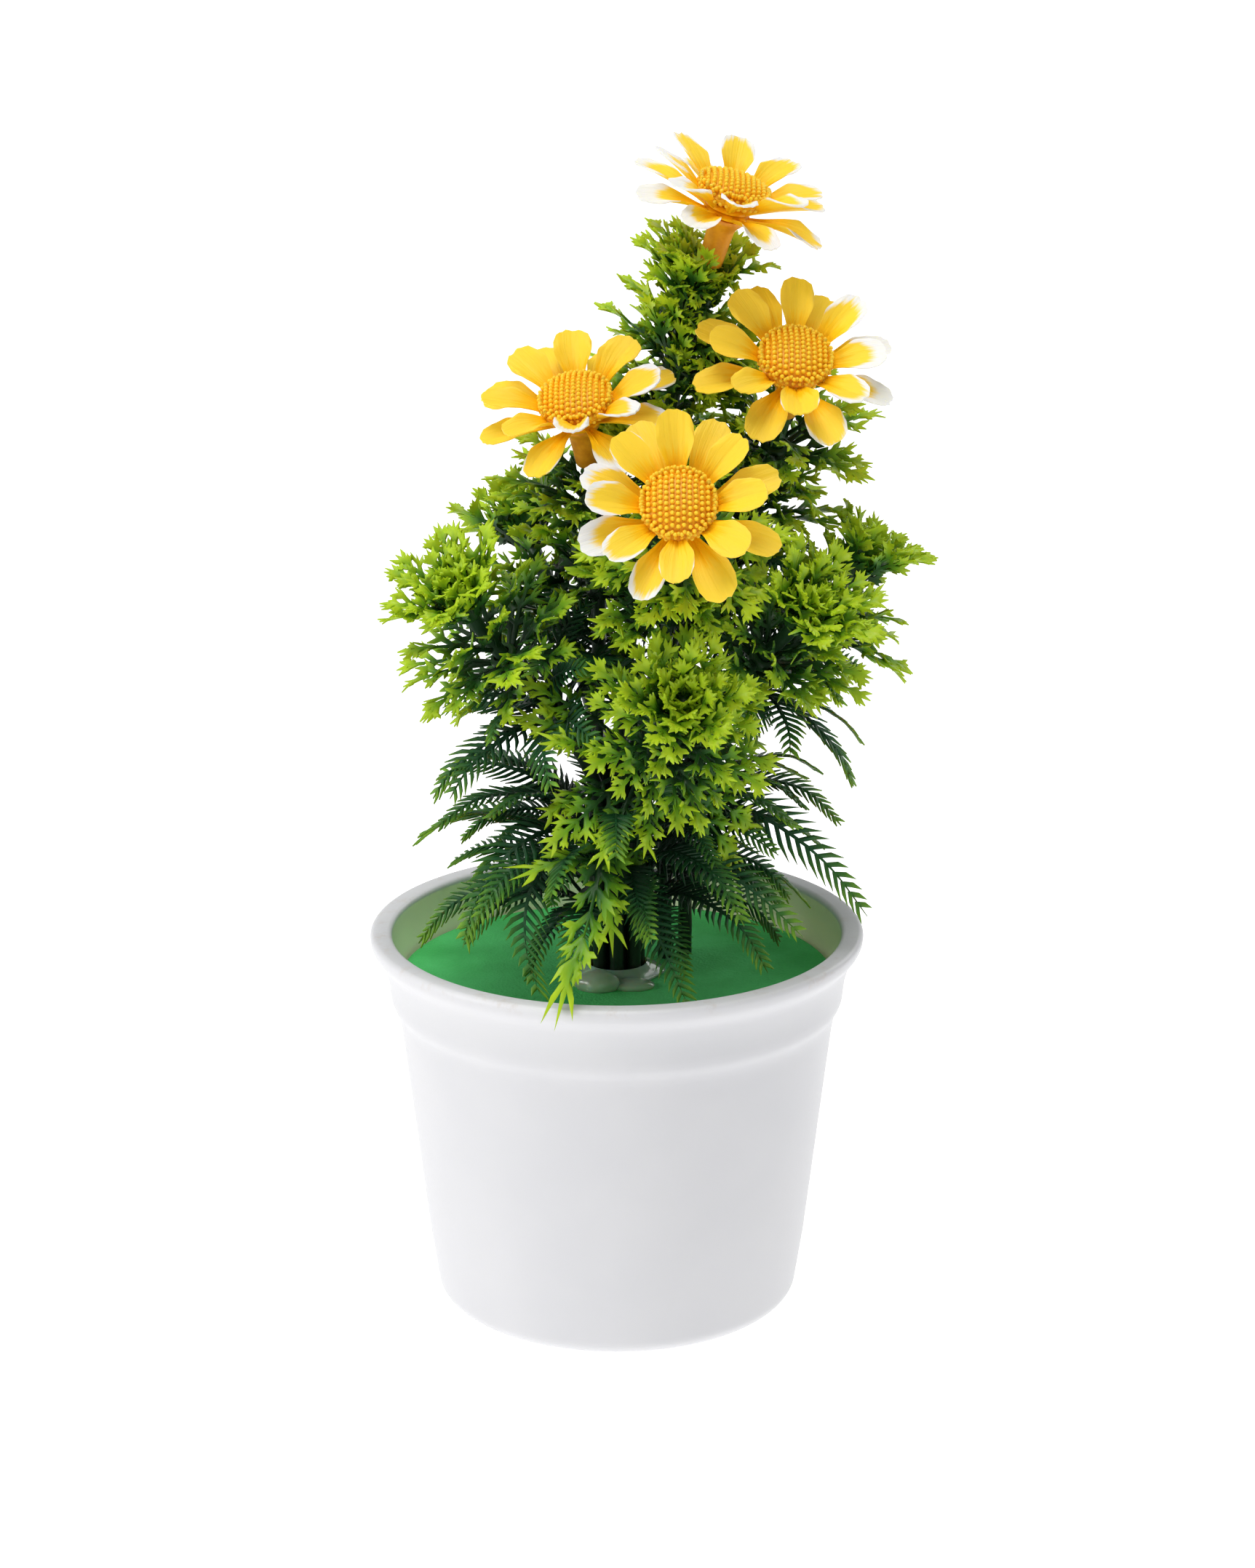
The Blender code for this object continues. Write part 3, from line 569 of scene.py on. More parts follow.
def smooth_line(points, count):
    """This many points at even steps along a smooth curve through the given ones."""
    ends = np.vstack([2 * points[0] - points[1], points, 2 * points[-1] - points[-2]])
    share = np.linspace(0, 1, 10, endpoint=False)[:, None]
    fine = []
    for a, b, c, d in zip(ends, ends[1:], ends[2:], ends[3:]):
        fine.append(0.5 * (2 * b + (c - a) * share + (2 * a - 5 * b + 4 * c - d) * share**2
                           + (3 * b - a - 3 * c + d) * share**3))
    fine = np.vstack([*fine, points[-1:]])
    run = np.concatenate([[0], np.cumsum(np.linalg.norm(np.diff(fine, axis=0), axis=1))])
    return read_off(np.linspace(0, run[-1], count), run, fine), run[-1]


def tube(line, radii, sides, ribs, rib_height):
    """A closed tube along a line, with a few ribs along it."""
    tangents = units(np.gradient(line, axis=0))
    normal = unit(np.cross(tangents[0], (0.31, 0.95, 0.0)))
    angles = np.linspace(0, 2 * math.pi, sides, endpoint=False)
    swell = 1 + rib_height * np.cos(ribs * angles)
    points = []
    for place, along, radius in zip(line, tangents, radii):
        normal = unit(normal - along * (normal @ along))
        other = np.cross(along, normal)
        ring = np.cos(angles)[:, None] * normal + np.sin(angles)[:, None] * other
        points.append(place + ring * (radius * swell)[:, None])
    return np.vstack([*points, line[:1], line[-1:]]), ring_faces(len(line), sides)


def solid_grid(top, bottom):
    """A closed shell between two grids of points."""
    rows, columns = top.shape[:2]
    points = np.vstack([top.reshape(-1, 3), bottom.reshape(-1, 3)])
    under = rows * columns
    faces = []
    for r in range(rows - 1):
        for c in range(columns - 1):
            i = r * columns + c
            quad = (i, i + columns, i + columns + 1, i + 1)
            faces.append(quad)
            faces.append(tuple(under + k for k in reversed(quad)))
    rim = list(range(columns))
    rim += [r * columns + columns - 1 for r in range(1, rows)]
    rim += [(rows - 1) * columns + c for c in range(columns - 2, -1, -1)]
    rim += [r * columns for r in range(rows - 2, 0, -1)]
    for a, b in zip(rim, rim[1:] + rim[:1]):
        faces.append((a, b, under + b, under + a))
    return points, faces


# ---- leaf patterns


# Half a leaf's thickness at its rim and along its ridges, half the width of stalks and of a fern's needles,
# and how far a stalk starts inside its hub.
RIM_HALF = 0.13 * MM
RIDGE_HALF = 0.34 * MM
STALK_HALF = 0.50 * MM
NEEDLE_HALF = 0.36 * MM
ROOT_SUNK = 0.8 * MM


class Pattern:
    """A flat leaf drawn as overlapping strokes and joined into one thin closed sheet.

    Points are (along, across) from the leaf's root. Pitch is how far apart its lobes are."""

    def __init__(self, length, pitch):
        self.length = length
        self.pitch = pitch
        self.points = []
        self.outlines = []
        self.middles = []

    def stroke(self, start, angle, length, half_width, belly=1.1, bend=0.0, belly_at=0.5):
        """A pointed blade from start at this angle, in degrees. It gives back its line."""
        place = np.array(start, float)
        line = [place]
        for part, turn in ((belly_at, 0.0), (1 - belly_at, bend)):
            heading = math.radians(angle + turn)
            place = place + np.array((math.cos(heading), math.sin(heading))) * length * part
            line.append(place)
        first = len(self.points)
        heads = [math.radians(angle), math.radians(angle + bend / 2)]
        halves = (half_width, half_width * belly)
        offsets = [np.array((-math.sin(head), math.cos(head))) * half for head, half in zip(heads, halves)]
        left = [place + offset for place, offset in zip(line, offsets)]
        right = [place - offset for place, offset in zip(line, offsets)]
        self.points += [*right, line[2], left[1], left[0], line[0], line[1]]
        self.outlines.append([first + i for i in range(5)])
        self.middles += [(first + 5, first + 6), (first + 6, first + 2)]
        return line

    def finish(self):
        """Joins the strokes, and sets what is laid on the leaves' centre lines."""
        flat = [Vector(point / MM) for point in self.points]
        places, _, faces, _, _, sources = delaunay_2d_cdt(flat, self.middles, self.outlines, 1, 1e-4, True)
        places = np.array([tuple(place) for place in places]) * MM
        faces = [face for face, source in zip(faces, sources) if source]
        edges = [edge for face in faces for edge in zip(face, face[1:] + face[:1])]
        known = set(edges)
        rim = [(a, b) for a, b in edges if (b, a) not in known]
        inside = np.ones(len(places), bool)
        inside[[i for edge in rim for i in edge]] = False
        count = len(places)
        self.along = np.tile(places[:, 0] / self.length, 2)
        self.across = np.tile(places[:, 1], 2)
        self.above = np.concatenate([np.where(inside, RIDGE_HALF, RIM_HALF), np.full(count, -RIM_HALF)])
        self.faces = [tuple(face) for face in faces]
        self.faces += [tuple(count + i for i in reversed(face)) for face in faces]
        self.faces += [(b, a, count + a, count + b) for a, b in rim]
        self.span = max(abs(self.across).max(), 1 * MM)
        return self


def lobe(pattern, start, angle, length, half_width):
    """A narrow lobe with pointed teeth: a pair above its middle, and mostly one more below them."""
    line = pattern.stroke(start, angle, length, half_width, belly=1.10, belly_at=0.6)
    teeth = [(0.52, 38, 0.50), (0.47, -38, 0.50)]
    if rng.random() < 0.6:
        teeth.append((0.20, rng.choice((44, -44)), 0.42))
    for share, turn, size in teeth:
        root = line[0] + (line[2] - line[0]) * (share + rng.uniform(-0.05, 0.05))
        pattern.stroke(root, angle + turn + rng.uniform(-7, 7), length * size * rng.uniform(0.8, 1.15),
                       half_width * 0.88, bend=-turn * 0.35)


def lacy_pattern(length, bare, pairs, reach, half_width):
    """A lacy frond: a stalk that is bare for a share of its length, and pairs of toothed lobes."""
    pattern = Pattern(length, pitch=length * (0.76 - bare) / (pairs - 1))
    pattern.stroke((-ROOT_SUNK, 0), 0, length * 0.86, STALK_HALF, belly=0.9)
    for pair in range(pairs):
        part = pair / (pairs - 1)
        share = bare + (0.76 - bare) * part
        fullness = 0.80 + 1.05 * part * (1 - part) - 0.22 * part
        for side in (-1, 1):
            angle = side * (52 - 18 * part + rng.uniform(-5, 5))
            root = (length * (share + rng.uniform(-0.02, 0.02)), 0)
            lobe(pattern, root, angle, reach * fullness * rng.uniform(0.88, 1.12), half_width)
    lobe(pattern, (length * 0.68, 0), rng.uniform(-4, 4), length * 0.32, half_width * 1.05)
    return pattern.finish()


def fern_pattern(length, pitch, reach):
    """A fern frond: a long midrib with needle leaflets on both sides."""
    pattern = Pattern(length, pitch)
    pattern.stroke((-ROOT_SUNK, 0), 0, length + 0.6 * MM, STALK_HALF, belly=0.75)
    count = int(length * 0.9 / pitch)
    for k in range(count):
        share = 0.10 + 0.88 * k / count
        fullness = min(1.0, 0.55 + 2.2 * share) * (1.0 - 0.66 * max(0.0, share - 0.45) / 0.55)
        for side in (-1, 1):
            angle = side * (62 - 20 * share + rng.uniform(-2, 2))
            size = reach * fullness * rng.uniform(0.9, 1.08)
            root = (length * share + side * 0.12 * pitch, 0)
            pattern.stroke(root, angle, size, NEEDLE_HALF, belly=1.05, bend=-side * 14)
    return pattern.finish()


VARIANTS = 5


# For each kind of frond, how it is made and from what sizes.
PATTERN_SIZES = {
    "rosette": (lacy_pattern, 16 * MM, 0.16, 4, 4.9 * MM, 0.40 * MM),
    "lacy": (lacy_pattern, 19 * MM, 0.20, 4, 5.4 * MM, 0.40 * MM),
    "spray": (lacy_pattern, 27 * MM, 0.34, 5, 5.8 * MM, 0.42 * MM),
    "trail": (lacy_pattern, 34 * MM, 0.40, 5, 5.4 * MM, 0.44 * MM),
    "fern": (fern_pattern, 27 * MM, 1.9 * MM, 6.8 * MM),
    "long_fern": (fern_pattern, 40 * MM, 1.9 * MM, 6.8 * MM),
    "skirt": (fern_pattern, 44 * MM, 1.9 * MM, 7.4 * MM),
}


def make_patterns():
    return {kind: [make(*sizes) for _ in range(VARIANTS)] for kind, (make, *sizes) in PATTERN_SIZES.items()}


# ---- leaves on their stems


class HeadSpace:
    """The space that a flower head sweeps as it turns, which every leaf stays out of.

    Its petals take a disc from PETALS_FOOT to PETALS_TOP, and its calyx a tube below that."""

    MARGIN = 0.5 * MM
    REACH = 19.3 * MM
    PETALS_FOOT = -1.6 * MM
    PETALS_TOP = 11 * MM
    CALYX_FOOT = -10 * MM
    CALYX_RADIUS = 2.9 * MM

    def __init__(self, joint):
        self.place = np.array(joint["pos_m"], float)
        self.axis = unit(np.array(joint["axis"], float))

    def holds(self, points):
        height, radius = round_axis(points, self.place, self.axis)
        petals = (height > self.PETALS_FOOT - self.MARGIN) & (height < self.PETALS_TOP)
        petals &= radius < self.REACH + self.MARGIN
        calyx = (height > self.CALYX_FOOT) & (height < 0) & (radius < self.CALYX_RADIUS + self.MARGIN)
        return bool((petals | calyx).any())


# Ways to move a frond clear: the share of its length that is kept, and degrees that it is raised or let down.
WAYS = sorted(((share, lift) for share in (1.0, 0.9, 0.8, 0.7, 0.6, 0.5, 0.42)
               for lift in (0, -8, 8, -16, 16, -24, 24, -34, -44, -56)),
              key=lambda way: 60 * (1 - way[0]) + abs(way[1]))


def turned_about(points, place, axis, degrees):
    turn = np.array(Matrix.Rotation(math.radians(degrees), 3, Vector(axis)))
    return (points - place) @ turn.T + place


class Spine:
    """A leaf's smooth centre line, with its side, for a pattern to be laid on."""

    STEPS = 24

    def __init__(self, line, side):
        self.line = line
        self.side = side

    def rolled(self, degrees):
        along = unit(self.line[-1] - self.line[0])
        return Spine(self.line, turned_about(self.side, np.zeros(3), along, degrees))

    def moved(self, share, lift):
        line = self.line[0] + (self.line - self.line[0]) * share
        return Spine(turned_about(line, line[0], self.side, -lift), self.side)

    def lay(self, pattern, cup, wave, seed):
        """The pattern's points, laid on this line. Cup lifts its sides and wave is how uneven it is."""
        line, length = smooth_line(self.line, self.STEPS)
        steps = np.linspace(0, 1, self.STEPS)
        along = np.clip(pattern.along, 0, 1)
        tangent = read_off(along, steps, units(np.gradient(line, axis=0)))
        place = read_off(along, steps, line) + tangent * ((pattern.along - along) * length)[:, None]
        normal = units(np.cross(tangent, self.side))
        size = min(1.0, 0.35 + 0.65 * length / pattern.length)
        across = pattern.across * size
        out = np.abs(across) / (pattern.span * size)
        # Neighbouring lobes stand up and down by turns. They slant, so each is told by where its root is.
        root = pattern.along * pattern.length - np.abs(pattern.across) * 0.85
        ripple = np.sin(root / pattern.pitch * 2.6 + np.sign(pattern.across) * 1.3 + seed)
        lift = cup * out**1.5 * pattern.span * size + wave * ripple * out
        return place + self.side * across[:, None] + normal * (pattern.above + lift)[:, None]


HEAD_SPACES = []
LIP_WIDTH = 4.4 * MM
LIP_GAP = 0.6 * MM
GROUND_GAP = 0.3 * MM


def in_the_way(points):
    """Whether a frond's points are in a head's space, or in the disc, the pot's lip or its wall."""
    radii = np.hypot(points[:, 0], points[:, 1])
    ground = np.where(radii < RIM_RADIUS - LIP_WIDTH, DISC_TOP, POT_HEIGHT)
    low = (points[:, 2] < ground + GROUND_GAP) & (radii < RIM_RADIUS + LIP_GAP)
    return bool(low.any()) or any(space.holds(points) for space in HEAD_SPACES)


# Low and near the bundle the leaves get painted shade, darker where the bush keeps the light out: the middle
# of that space in X, its radius and top, and how far it takes to fade out.
DARK_MIDDLE = 4 * MM
DARK_RADIUS = 10 * MM
DARK_TOP = 158 * MM
DARK_FADE = 24 * MM


def add_frond(skin, spine, pattern, cup, wave, shade):
    """Lays a pattern on a spine that is let down, raised or shortened until nothing is in its way."""
    seed = rng.uniform(0, 6.28)
    for share, lift in WAYS:
        points = spine.moved(share, lift).lay(pattern, cup, wave, seed)
        if not in_the_way(points):
            break
    # Painted shade: fronds low and near the bundle are drawn darker, as if little light reached them.
    from_middle = np.hypot(points[:, 0] - DARK_MIDDLE, points[:, 1])
    painted_shade = 1 - smooth_step((from_middle - DARK_RADIUS) / DARK_FADE)
    painted_shade *= smooth_step((DARK_TOP - points[:, 2]) / DARK_FADE)
    shade = shade - 0.45 * painted_shade
    out = np.abs(pattern.across) / pattern.span
    tone = smooth_step((0.80 * pattern.along + 0.35 * out - 0.14) / 0.82)
    skin.add(points, pattern.faces, tone=tone, shade=shade)


def add_hub(skin, whorl, shade):
    half = whorl.height / 2
    soft = 0.35 * MM
    outer = whorl.outer - 0.1 * MM
    profile = [(whorl.bore, -half), (outer - soft, -half), (outer, soft - half), (outer, half - soft),
               (outer - soft, half), (whorl.bore, half)]
    points, faces = lathe(profile, 20, closed=True)
    skin.add(carried(points, frame_on(whorl.middle, whorl.axis)), faces, tone=0.05, shade=shade)


# For each kind of whorl: how far the sides cup, how uneven the fronds are, how far they roll to a side, in
# degrees, their shade, and the fronds that stand between its leaves: the share of a leaf's length, how much
# they are raised, in degrees, and how far up the stem they stand. The shade is partly the fronds' own colour
# and partly painted shade, paler for the top rosettes and darker for the lower whorls. A kind may also be
# drawn in: its own leaves are shortened to a share of their length and raised, in degrees.
KINDS = {
    "rosette": {"cup": 0.22, "wave": 1.6 * MM, "roll": 24, "shade": 0.22, "drawn_in": (0.93, 10),
                "between": ((0.95, 8, 0), (0.85, 22, 0), (0.78, 36, 0), (0.62, 54, 0))},
    "lacy": {"cup": 0.10, "wave": 1.6 * MM, "roll": 34, "shade": 0.12,
             "between": ((0.92, 0, 0), (0.85, 18, 3.5 * MM), (0.80, -14, -4 * MM))},
    "spray": {"cup": -0.05, "wave": 1.4 * MM, "roll": 30, "shade": 0.12,
              "between": ((0.92, 4, 0), (0.80, 20, 0), (0.80, -22, -4 * MM))},
    "fern": {"cup": 0.10, "wave": 0.25 * MM, "roll": 34, "shade": 0.04,
             "between": ((0.90, 4, 0), (0.75, 24, 4 * MM))},
    "long_fern": {"cup": 0.10, "wave": 0.25 * MM, "roll": 30, "shade": 0.0,
                  "between": ((0.85, 12, 0),)},
    "skirt": {"cup": 0.08, "wave": 0.25 * MM, "roll": 34, "shade": -0.02,
              "between": ((0.85, 10, 0), (0.75, -14, 0))},
}
NOT_DRAWN_IN = (1.0, 0)
LACY_KINDS = ("rosette", "lacy", "spray")
STEM_INSET = 1.2 * MM
# The fronds round the top flower's stem stand closer.
TOP_BETWEEN = ((0.95, -6, 3 * MM), (0.90, 10, -3.5 * MM), (0.95, -16, 0), (0.95, 4, -7 * MM))


def kind_of(node):
    for kind in ("long_fern", "skirt", "rosette", "spray", "lacy", "fern"):
        if kind in node:
            return kind
    return None


def make_whorl(node, line, hub_radii):
    kind = kind_of(node)
    facts = KINDS[kind]
    whorl = PackedWhorl(node, line, hub_radii)
    between = facts["between"]
    if node.startswith("top_flower"):
        between += TOP_BETWEEN
    skin = Skin("tone", "shade")
    add_hub(skin, whorl, facts["shade"])
    roll = facts["roll"]
    drawn_in = facts.get("drawn_in", NOT_DRAWN_IN)
    for number, leaf in enumerate(whorl.leaves):
        spine = Spine(leaf["line"], leaf["side"]).moved(*drawn_in).rolled(rng.uniform(-roll, roll) / 2)
        shade = facts["shade"] + rng.uniform(-0.10, 0.10)
        add_frond(skin, spine, rng.choice(PATTERNS[kind]), facts["cup"], facts["wave"], shade)
        onward = whorl.leaves[(number + 1) % len(whorl.leaves)]
        gap = math.degrees((onward["turn"] - leaf["turn"]) % (2 * math.pi))
        for place, (share, lift, up) in enumerate(between):
            turn = gap * (place + 1) / (len(between) + 1) + rng.uniform(-5, 5)
            line_out = turned_about(leaf["line"], whorl.middle, whorl.axis, turn)
            side = turned_about(leaf["side"], np.zeros(3), whorl.axis, turn)
            if up:
                # Away from the hub, a frond grows from the stem itself.
                line_out = line_out + whorl.axis * up - unit(np.cross(side, whorl.axis)) * STEM_INSET
            spine = Spine(line_out, side).moved(share * rng.uniform(0.92, 1.08), lift + rng.uniform(-7, 7))
            spine = spine.rolled(rng.uniform(-roll, roll))
            # The fronds between the leaves are a little darker still: painted shade.
            add_frond(skin, spine, rng.choice(PATTERNS[kind]), facts["cup"], facts["wave"], shade - 0.04)
    slot = "lime_leaf" if kind in LACY_KINDS else "fern_leaf"
    skin.make(f"{node}_fronds", BUSH, slot, [node], crease=50.0)


# The fronds that hang in front of the bundle, as the way each one takes from it, in millimetres.
TRAILS = (
    ("trail", ((0, -5, 101), (-1, -15, 98), (-3, -22, 92), (-10, -25, 92), (-19, -26, 89))),
    ("trail", ((0, -5, 100), (-1, -15, 97), (-2, -22, 91), (-1, -27, 84), (0, -30, 76))),
    ("trail", ((0, -5, 99), (-2, -16, 96), (-3, -26, 91), (-5, -35, 84), (-8, -43, 77), (-10, -48, 69))),
    ("skirt", ((-4, -4, 90), (-11, -12, 94), (-19, -20, 92), (-25, -25, 84), (-27, -28, 77))),
    ("skirt", ((-3, -5, 86), (-9, -12, 90), (-15, -21, 86), (-16, -28, 78), (-13, -33, 69))),
    ("skirt", ((4, -5, 84), (9, -11, 89), (17, -18, 89), (25, -22, 85), (33, -25, 78))),
    ("skirt", ((2, -6, 82), (3, -11, 85), (5, -19, 82), (9, -27, 75), (13, -33, 67))),
    ("skirt", ((6, 2, 92), (15, -4, 97), (25, -9, 96), (37, -12, 88), (45, -14, 78))),
)
# The way that their upper sides face, how far they cup, and their shade.
TRAIL_FACING = (0.0, -0.75, 0.65)
TRAIL_CUP = 0.06
TRAIL_SHADE = -0.06


def make_trails():
    for kind, slot, like in (("trail", "lime_leaf", "spray"), ("skirt", "fern_leaf", "skirt")):
        skin = Skin("tone", "shade")
        for way in (np.array(points) * MM for own_kind, points in TRAILS if own_kind == kind):
            side = unit(np.cross(TRAIL_FACING, way[-1] - way[0]))
            wave = KINDS[like]["wave"] / 2
            add_frond(skin, Spine(way, side), rng.choice(PATTERNS[kind]), TRAIL_CUP, wave, TRAIL_SHADE)
        skin.make(f"front_{kind}_fronds", BUSH, slot, crease=50.0)


STEM_SIDES = 14
KNUCKLE_PITCH = 13 * MM


def make_stem(node, line):
    """The stem, with shallow ribs and a round end."""
    padded = [line[0]]
    for a, b in zip(line, line[1:]):
        parts = max(1, round(np.linalg.norm(b - a) / (7 * MM)))
        padded += [a + (b - a) * (k + 1) / parts for k in range(parts)]
    radius = distance_to_line(welded(node)[0][0], line)
    smooth, length = smooth_line(np.array(padded), max(30, int(len(padded) * 2.5)))
    run = np.linspace(0, length, len(smooth))
    knuckles = 1 + 0.06 * np.cos(run / KNUCKLE_PITCH * 2 * math.pi) ** 8
    radii = radius * 0.97 * knuckles
    cap = [(0.55, 0.86), (0.85, 0.55), (0.98, 0.2)]
    direction = unit(smooth[-1] - smooth[-2])
    round_end = np.array([smooth[-1] + direction * radius * (out - 1) for out, _ in cap])
    keep = run < length - radius
    smooth = np.vstack([smooth[keep], round_end])
    radii = np.concatenate([radii[keep], [radius * 0.97 * size for _, size in cap]])
    points, faces = tube(smooth, radii, STEM_SIDES, ribs=5, rib_height=0.035)
    heights = np.concatenate([np.repeat(smooth[:, 2], STEM_SIDES), smooth[[0, -1], 2]])
    tone = np.interp(heights, (60 * MM, 110 * MM, 160 * MM), (0.1, 0.35, 0.75))
    skin = Skin("tone")
    skin.add(points, faces, tone=tone)
    skin.make(f"{node}_moulded", BUSH, "stem_plastic", [node])


# ---- flower heads


PETALS = 8
PETAL_REACH = 19.0 * MM
PETAL_ROOT = 3.3 * MM
PETAL_HALF_WIDTH = 3.25 * MM
PETAL_THICKNESS = 0.45 * MM
PETAL_ROWS = 19
PETAL_COLUMNS = 13
RING_FACTS = {
    "lower": {"height": 0.75 * MM, "rise": 17.0, "bend": -15.0, "reach": PETAL_REACH, "first": 22.5},
    "upper": {"height": 1.95 * MM, "rise": 38.0, "bend": -17.0, "reach": 0.93 * PETAL_REACH, "first": 0.0},
}
# Which way a head's petals are dipped in white, in degrees round the head, how much the petals there are,
# and how much the others are.
WHITE = {
    "front_flower": (200.0, 0.68, 0.12),
    "left_flower": (320.0, 0.78, 0.14),
    "right_flower": (350.0, 0.72, 0.20),
    "top_flower": (235.0, 0.86, 0.52),
}
TUFT_RADIUS = 7.0 * MM
TUFT_FOOT = 2.7 * MM
TUFT_HEIGHT = 5.0 * MM
PIN_PITCH = 0.98 * MM
PIN_HEIGHT = 0.70 * MM
PIN_RADIUS = 0.40 * MM
SIDE_PINS = 36


def smooth_step(value):
    value = np.clip(value, 0, 1)
    return value * value * (3 - 2 * value)


def petal(ring, angle, shape):
    """One cupped, grooved petal in its head's frame, and how far along and across it each point is."""
    along, across = np.meshgrid(np.linspace(0, 1, PETAL_ROWS), np.linspace(-1, 1, PETAL_COLUMNS),
                                indexing="ij")
    length = (ring["reach"] - PETAL_ROOT) * shape["length"]
    widening = np.sin(np.clip(along / 0.88, 0, 1) * 1.57) ** 1.7
    width = PETAL_HALF_WIDTH * shape["width"] * (0.22 + 0.78 * widening)
    near_tip = smooth_step((along - 0.35) / 0.65)
    notch = 0.020 * np.exp(-((across - shape["notch"]) / 0.12) ** 2) + 0.008 * np.cos(across * 11)
    round_end = 0.24 * (1 - np.sqrt(1 - 0.985 * np.abs(across) ** 2.4))
    share = along - near_tip * (round_end + notch)
    rise, bend = math.radians(ring["rise"] + shape["lift"]), math.radians(ring["bend"] + shape["curl"])
    first = np.array((math.cos(rise), math.sin(rise)))
    last = np.array((math.cos(rise + bend), math.sin(rise + bend)))
    start = np.array((PETAL_ROOT, ring["height"]))
    control = start + first * length / 2
    tip = control + last * length / 2
    t = share[..., None]
    middle = start * (1 - t) ** 2 + control * 2 * t * (1 - t) + tip * t**2
    tangent = units((control - start) * (1 - t) + (tip - control) * t)
    cup = (0.42 + 0.16 * shape["cup"]) * width * np.abs(across) ** 2.2 * smooth_step(along * 2.2)
    cup *= 1 - 0.55 * smooth_step((along - 0.72) / 0.28)
    crease = -0.34 * MM * np.exp(-(across / 0.17) ** 2) * (1 - 0.7 * along)
    grooves = 0.10 * MM * np.cos(across * 15.5 + shape["phase"]) * smooth_step(along * 3)
    twist = shape["twist"] * across * width * along**1.5
    above = cup + crease + grooves + twist
    radial = middle[..., 0] - tangent[..., 1] * above
    height = middle[..., 1] + tangent[..., 0] * above
    thin = PETAL_THICKNESS * (1 - 0.45 * np.abs(across) ** 3) * (1 - 0.35 * along)
    under_radial = radial + tangent[..., 1] * thin
    under_height = height - tangent[..., 0] * thin
    a = math.radians(angle)
    out, side = np.array((math.cos(a), math.sin(a), 0)), np.array((-math.sin(a), math.cos(a), 0))

    def sheet(radii, heights):
        flat = out * radii[..., None] + side * (across * width)[..., None]
        return flat + np.array((0, 0, 1)) * heights[..., None]

    return (*solid_grid(sheet(radial, height), sheet(under_radial, under_height)), along, across)


def make_petal_ring(head, which, matrix):
    ring = RING_FACTS[which]
    skin = Skin("along", "across", "white", "shade")
    toward, most, least = WHITE[head]
    for number in range(PETALS):
        angle = ring["first"] + number * 360 / PETALS
        shape = {"length": rng.uniform(0.94, 1.0), "width": rng.uniform(0.88, 1.04),
                 "lift": rng.uniform(-5, 4), "curl": rng.uniform(-9, 5), "cup": rng.uniform(-1, 1),
                 "notch": rng.uniform(-0.4, 0.4), "phase": rng.uniform(0, 6), "twist": rng.uniform(-0.2, 0.2)}
        points, faces, along, across = petal(ring, angle + rng.uniform(-3, 3), shape)
        facing = max(0.0, math.cos(math.radians(angle - toward)))
        dipped = least + (most - least) * facing**0.7 * rng.uniform(0.75, 1.15)
        edge = 0.82 * along + 0.18 * np.abs(across) ** 3 * smooth_step((along - 0.3) / 0.3)
        white = np.tile((edge - (1.02 - 0.52 * dipped)).ravel() * 2.6 + 0.5 * min(1.0, 1.7 * dipped), 2)
        skin.add(carried(points, matrix), faces, along=np.tile(along.ravel(), 2),
                 across=np.tile(across.ravel(), 2), white=white, shade=rng.uniform(0, 1))
    low, middle, high = ring["height"] - 0.45 * MM, ring["height"], ring["height"] + 0.4 * MM
    hub, hub_faces = lathe([(2.0 * MM, low), (4.0 * MM, low), (4.2 * MM, middle), (3.9 * MM, high),
                            (2.0 * MM, high)], 28, closed=True)
    skin.add(carried(hub, matrix), hub_faces)
    skin.make(f"{head}_{which}_petals_moulded", f"{head}_head", "yellow_petal", [f"{head}_{which}_petals"],
              crease=60.0)


def dome(radius):
    """The height of the tuft's dome at this distance from its axis."""
    share = np.clip(radius / TUFT_RADIUS, 0, 1)
    return TUFT_FOOT + (TUFT_HEIGHT - PIN_HEIGHT) * np.sqrt(np.clip(1 - 0.86 * share**2.6, 0, 1))


def add_pin(skin, place, direction, tone):
    """A small moulded pin with a soft head."""
    profile = [(0, -0.5 * MM), (PIN_RADIUS * 0.8, -0.5 * MM), (PIN_RADIUS, 0.35 * PIN_HEIGHT),
               (PIN_RADIUS * 0.85, 0.78 * PIN_HEIGHT), (PIN_RADIUS * 0.4, PIN_HEIGHT), (0, PIN_HEIGHT)]
    points, faces = lathe(profile, 7)
    rise = np.clip(points[:, 2] / PIN_HEIGHT, 0, 1)
    skin.add(carried(points, frame_on(place, direction)), faces, tone=tone + 0.55 * rise)


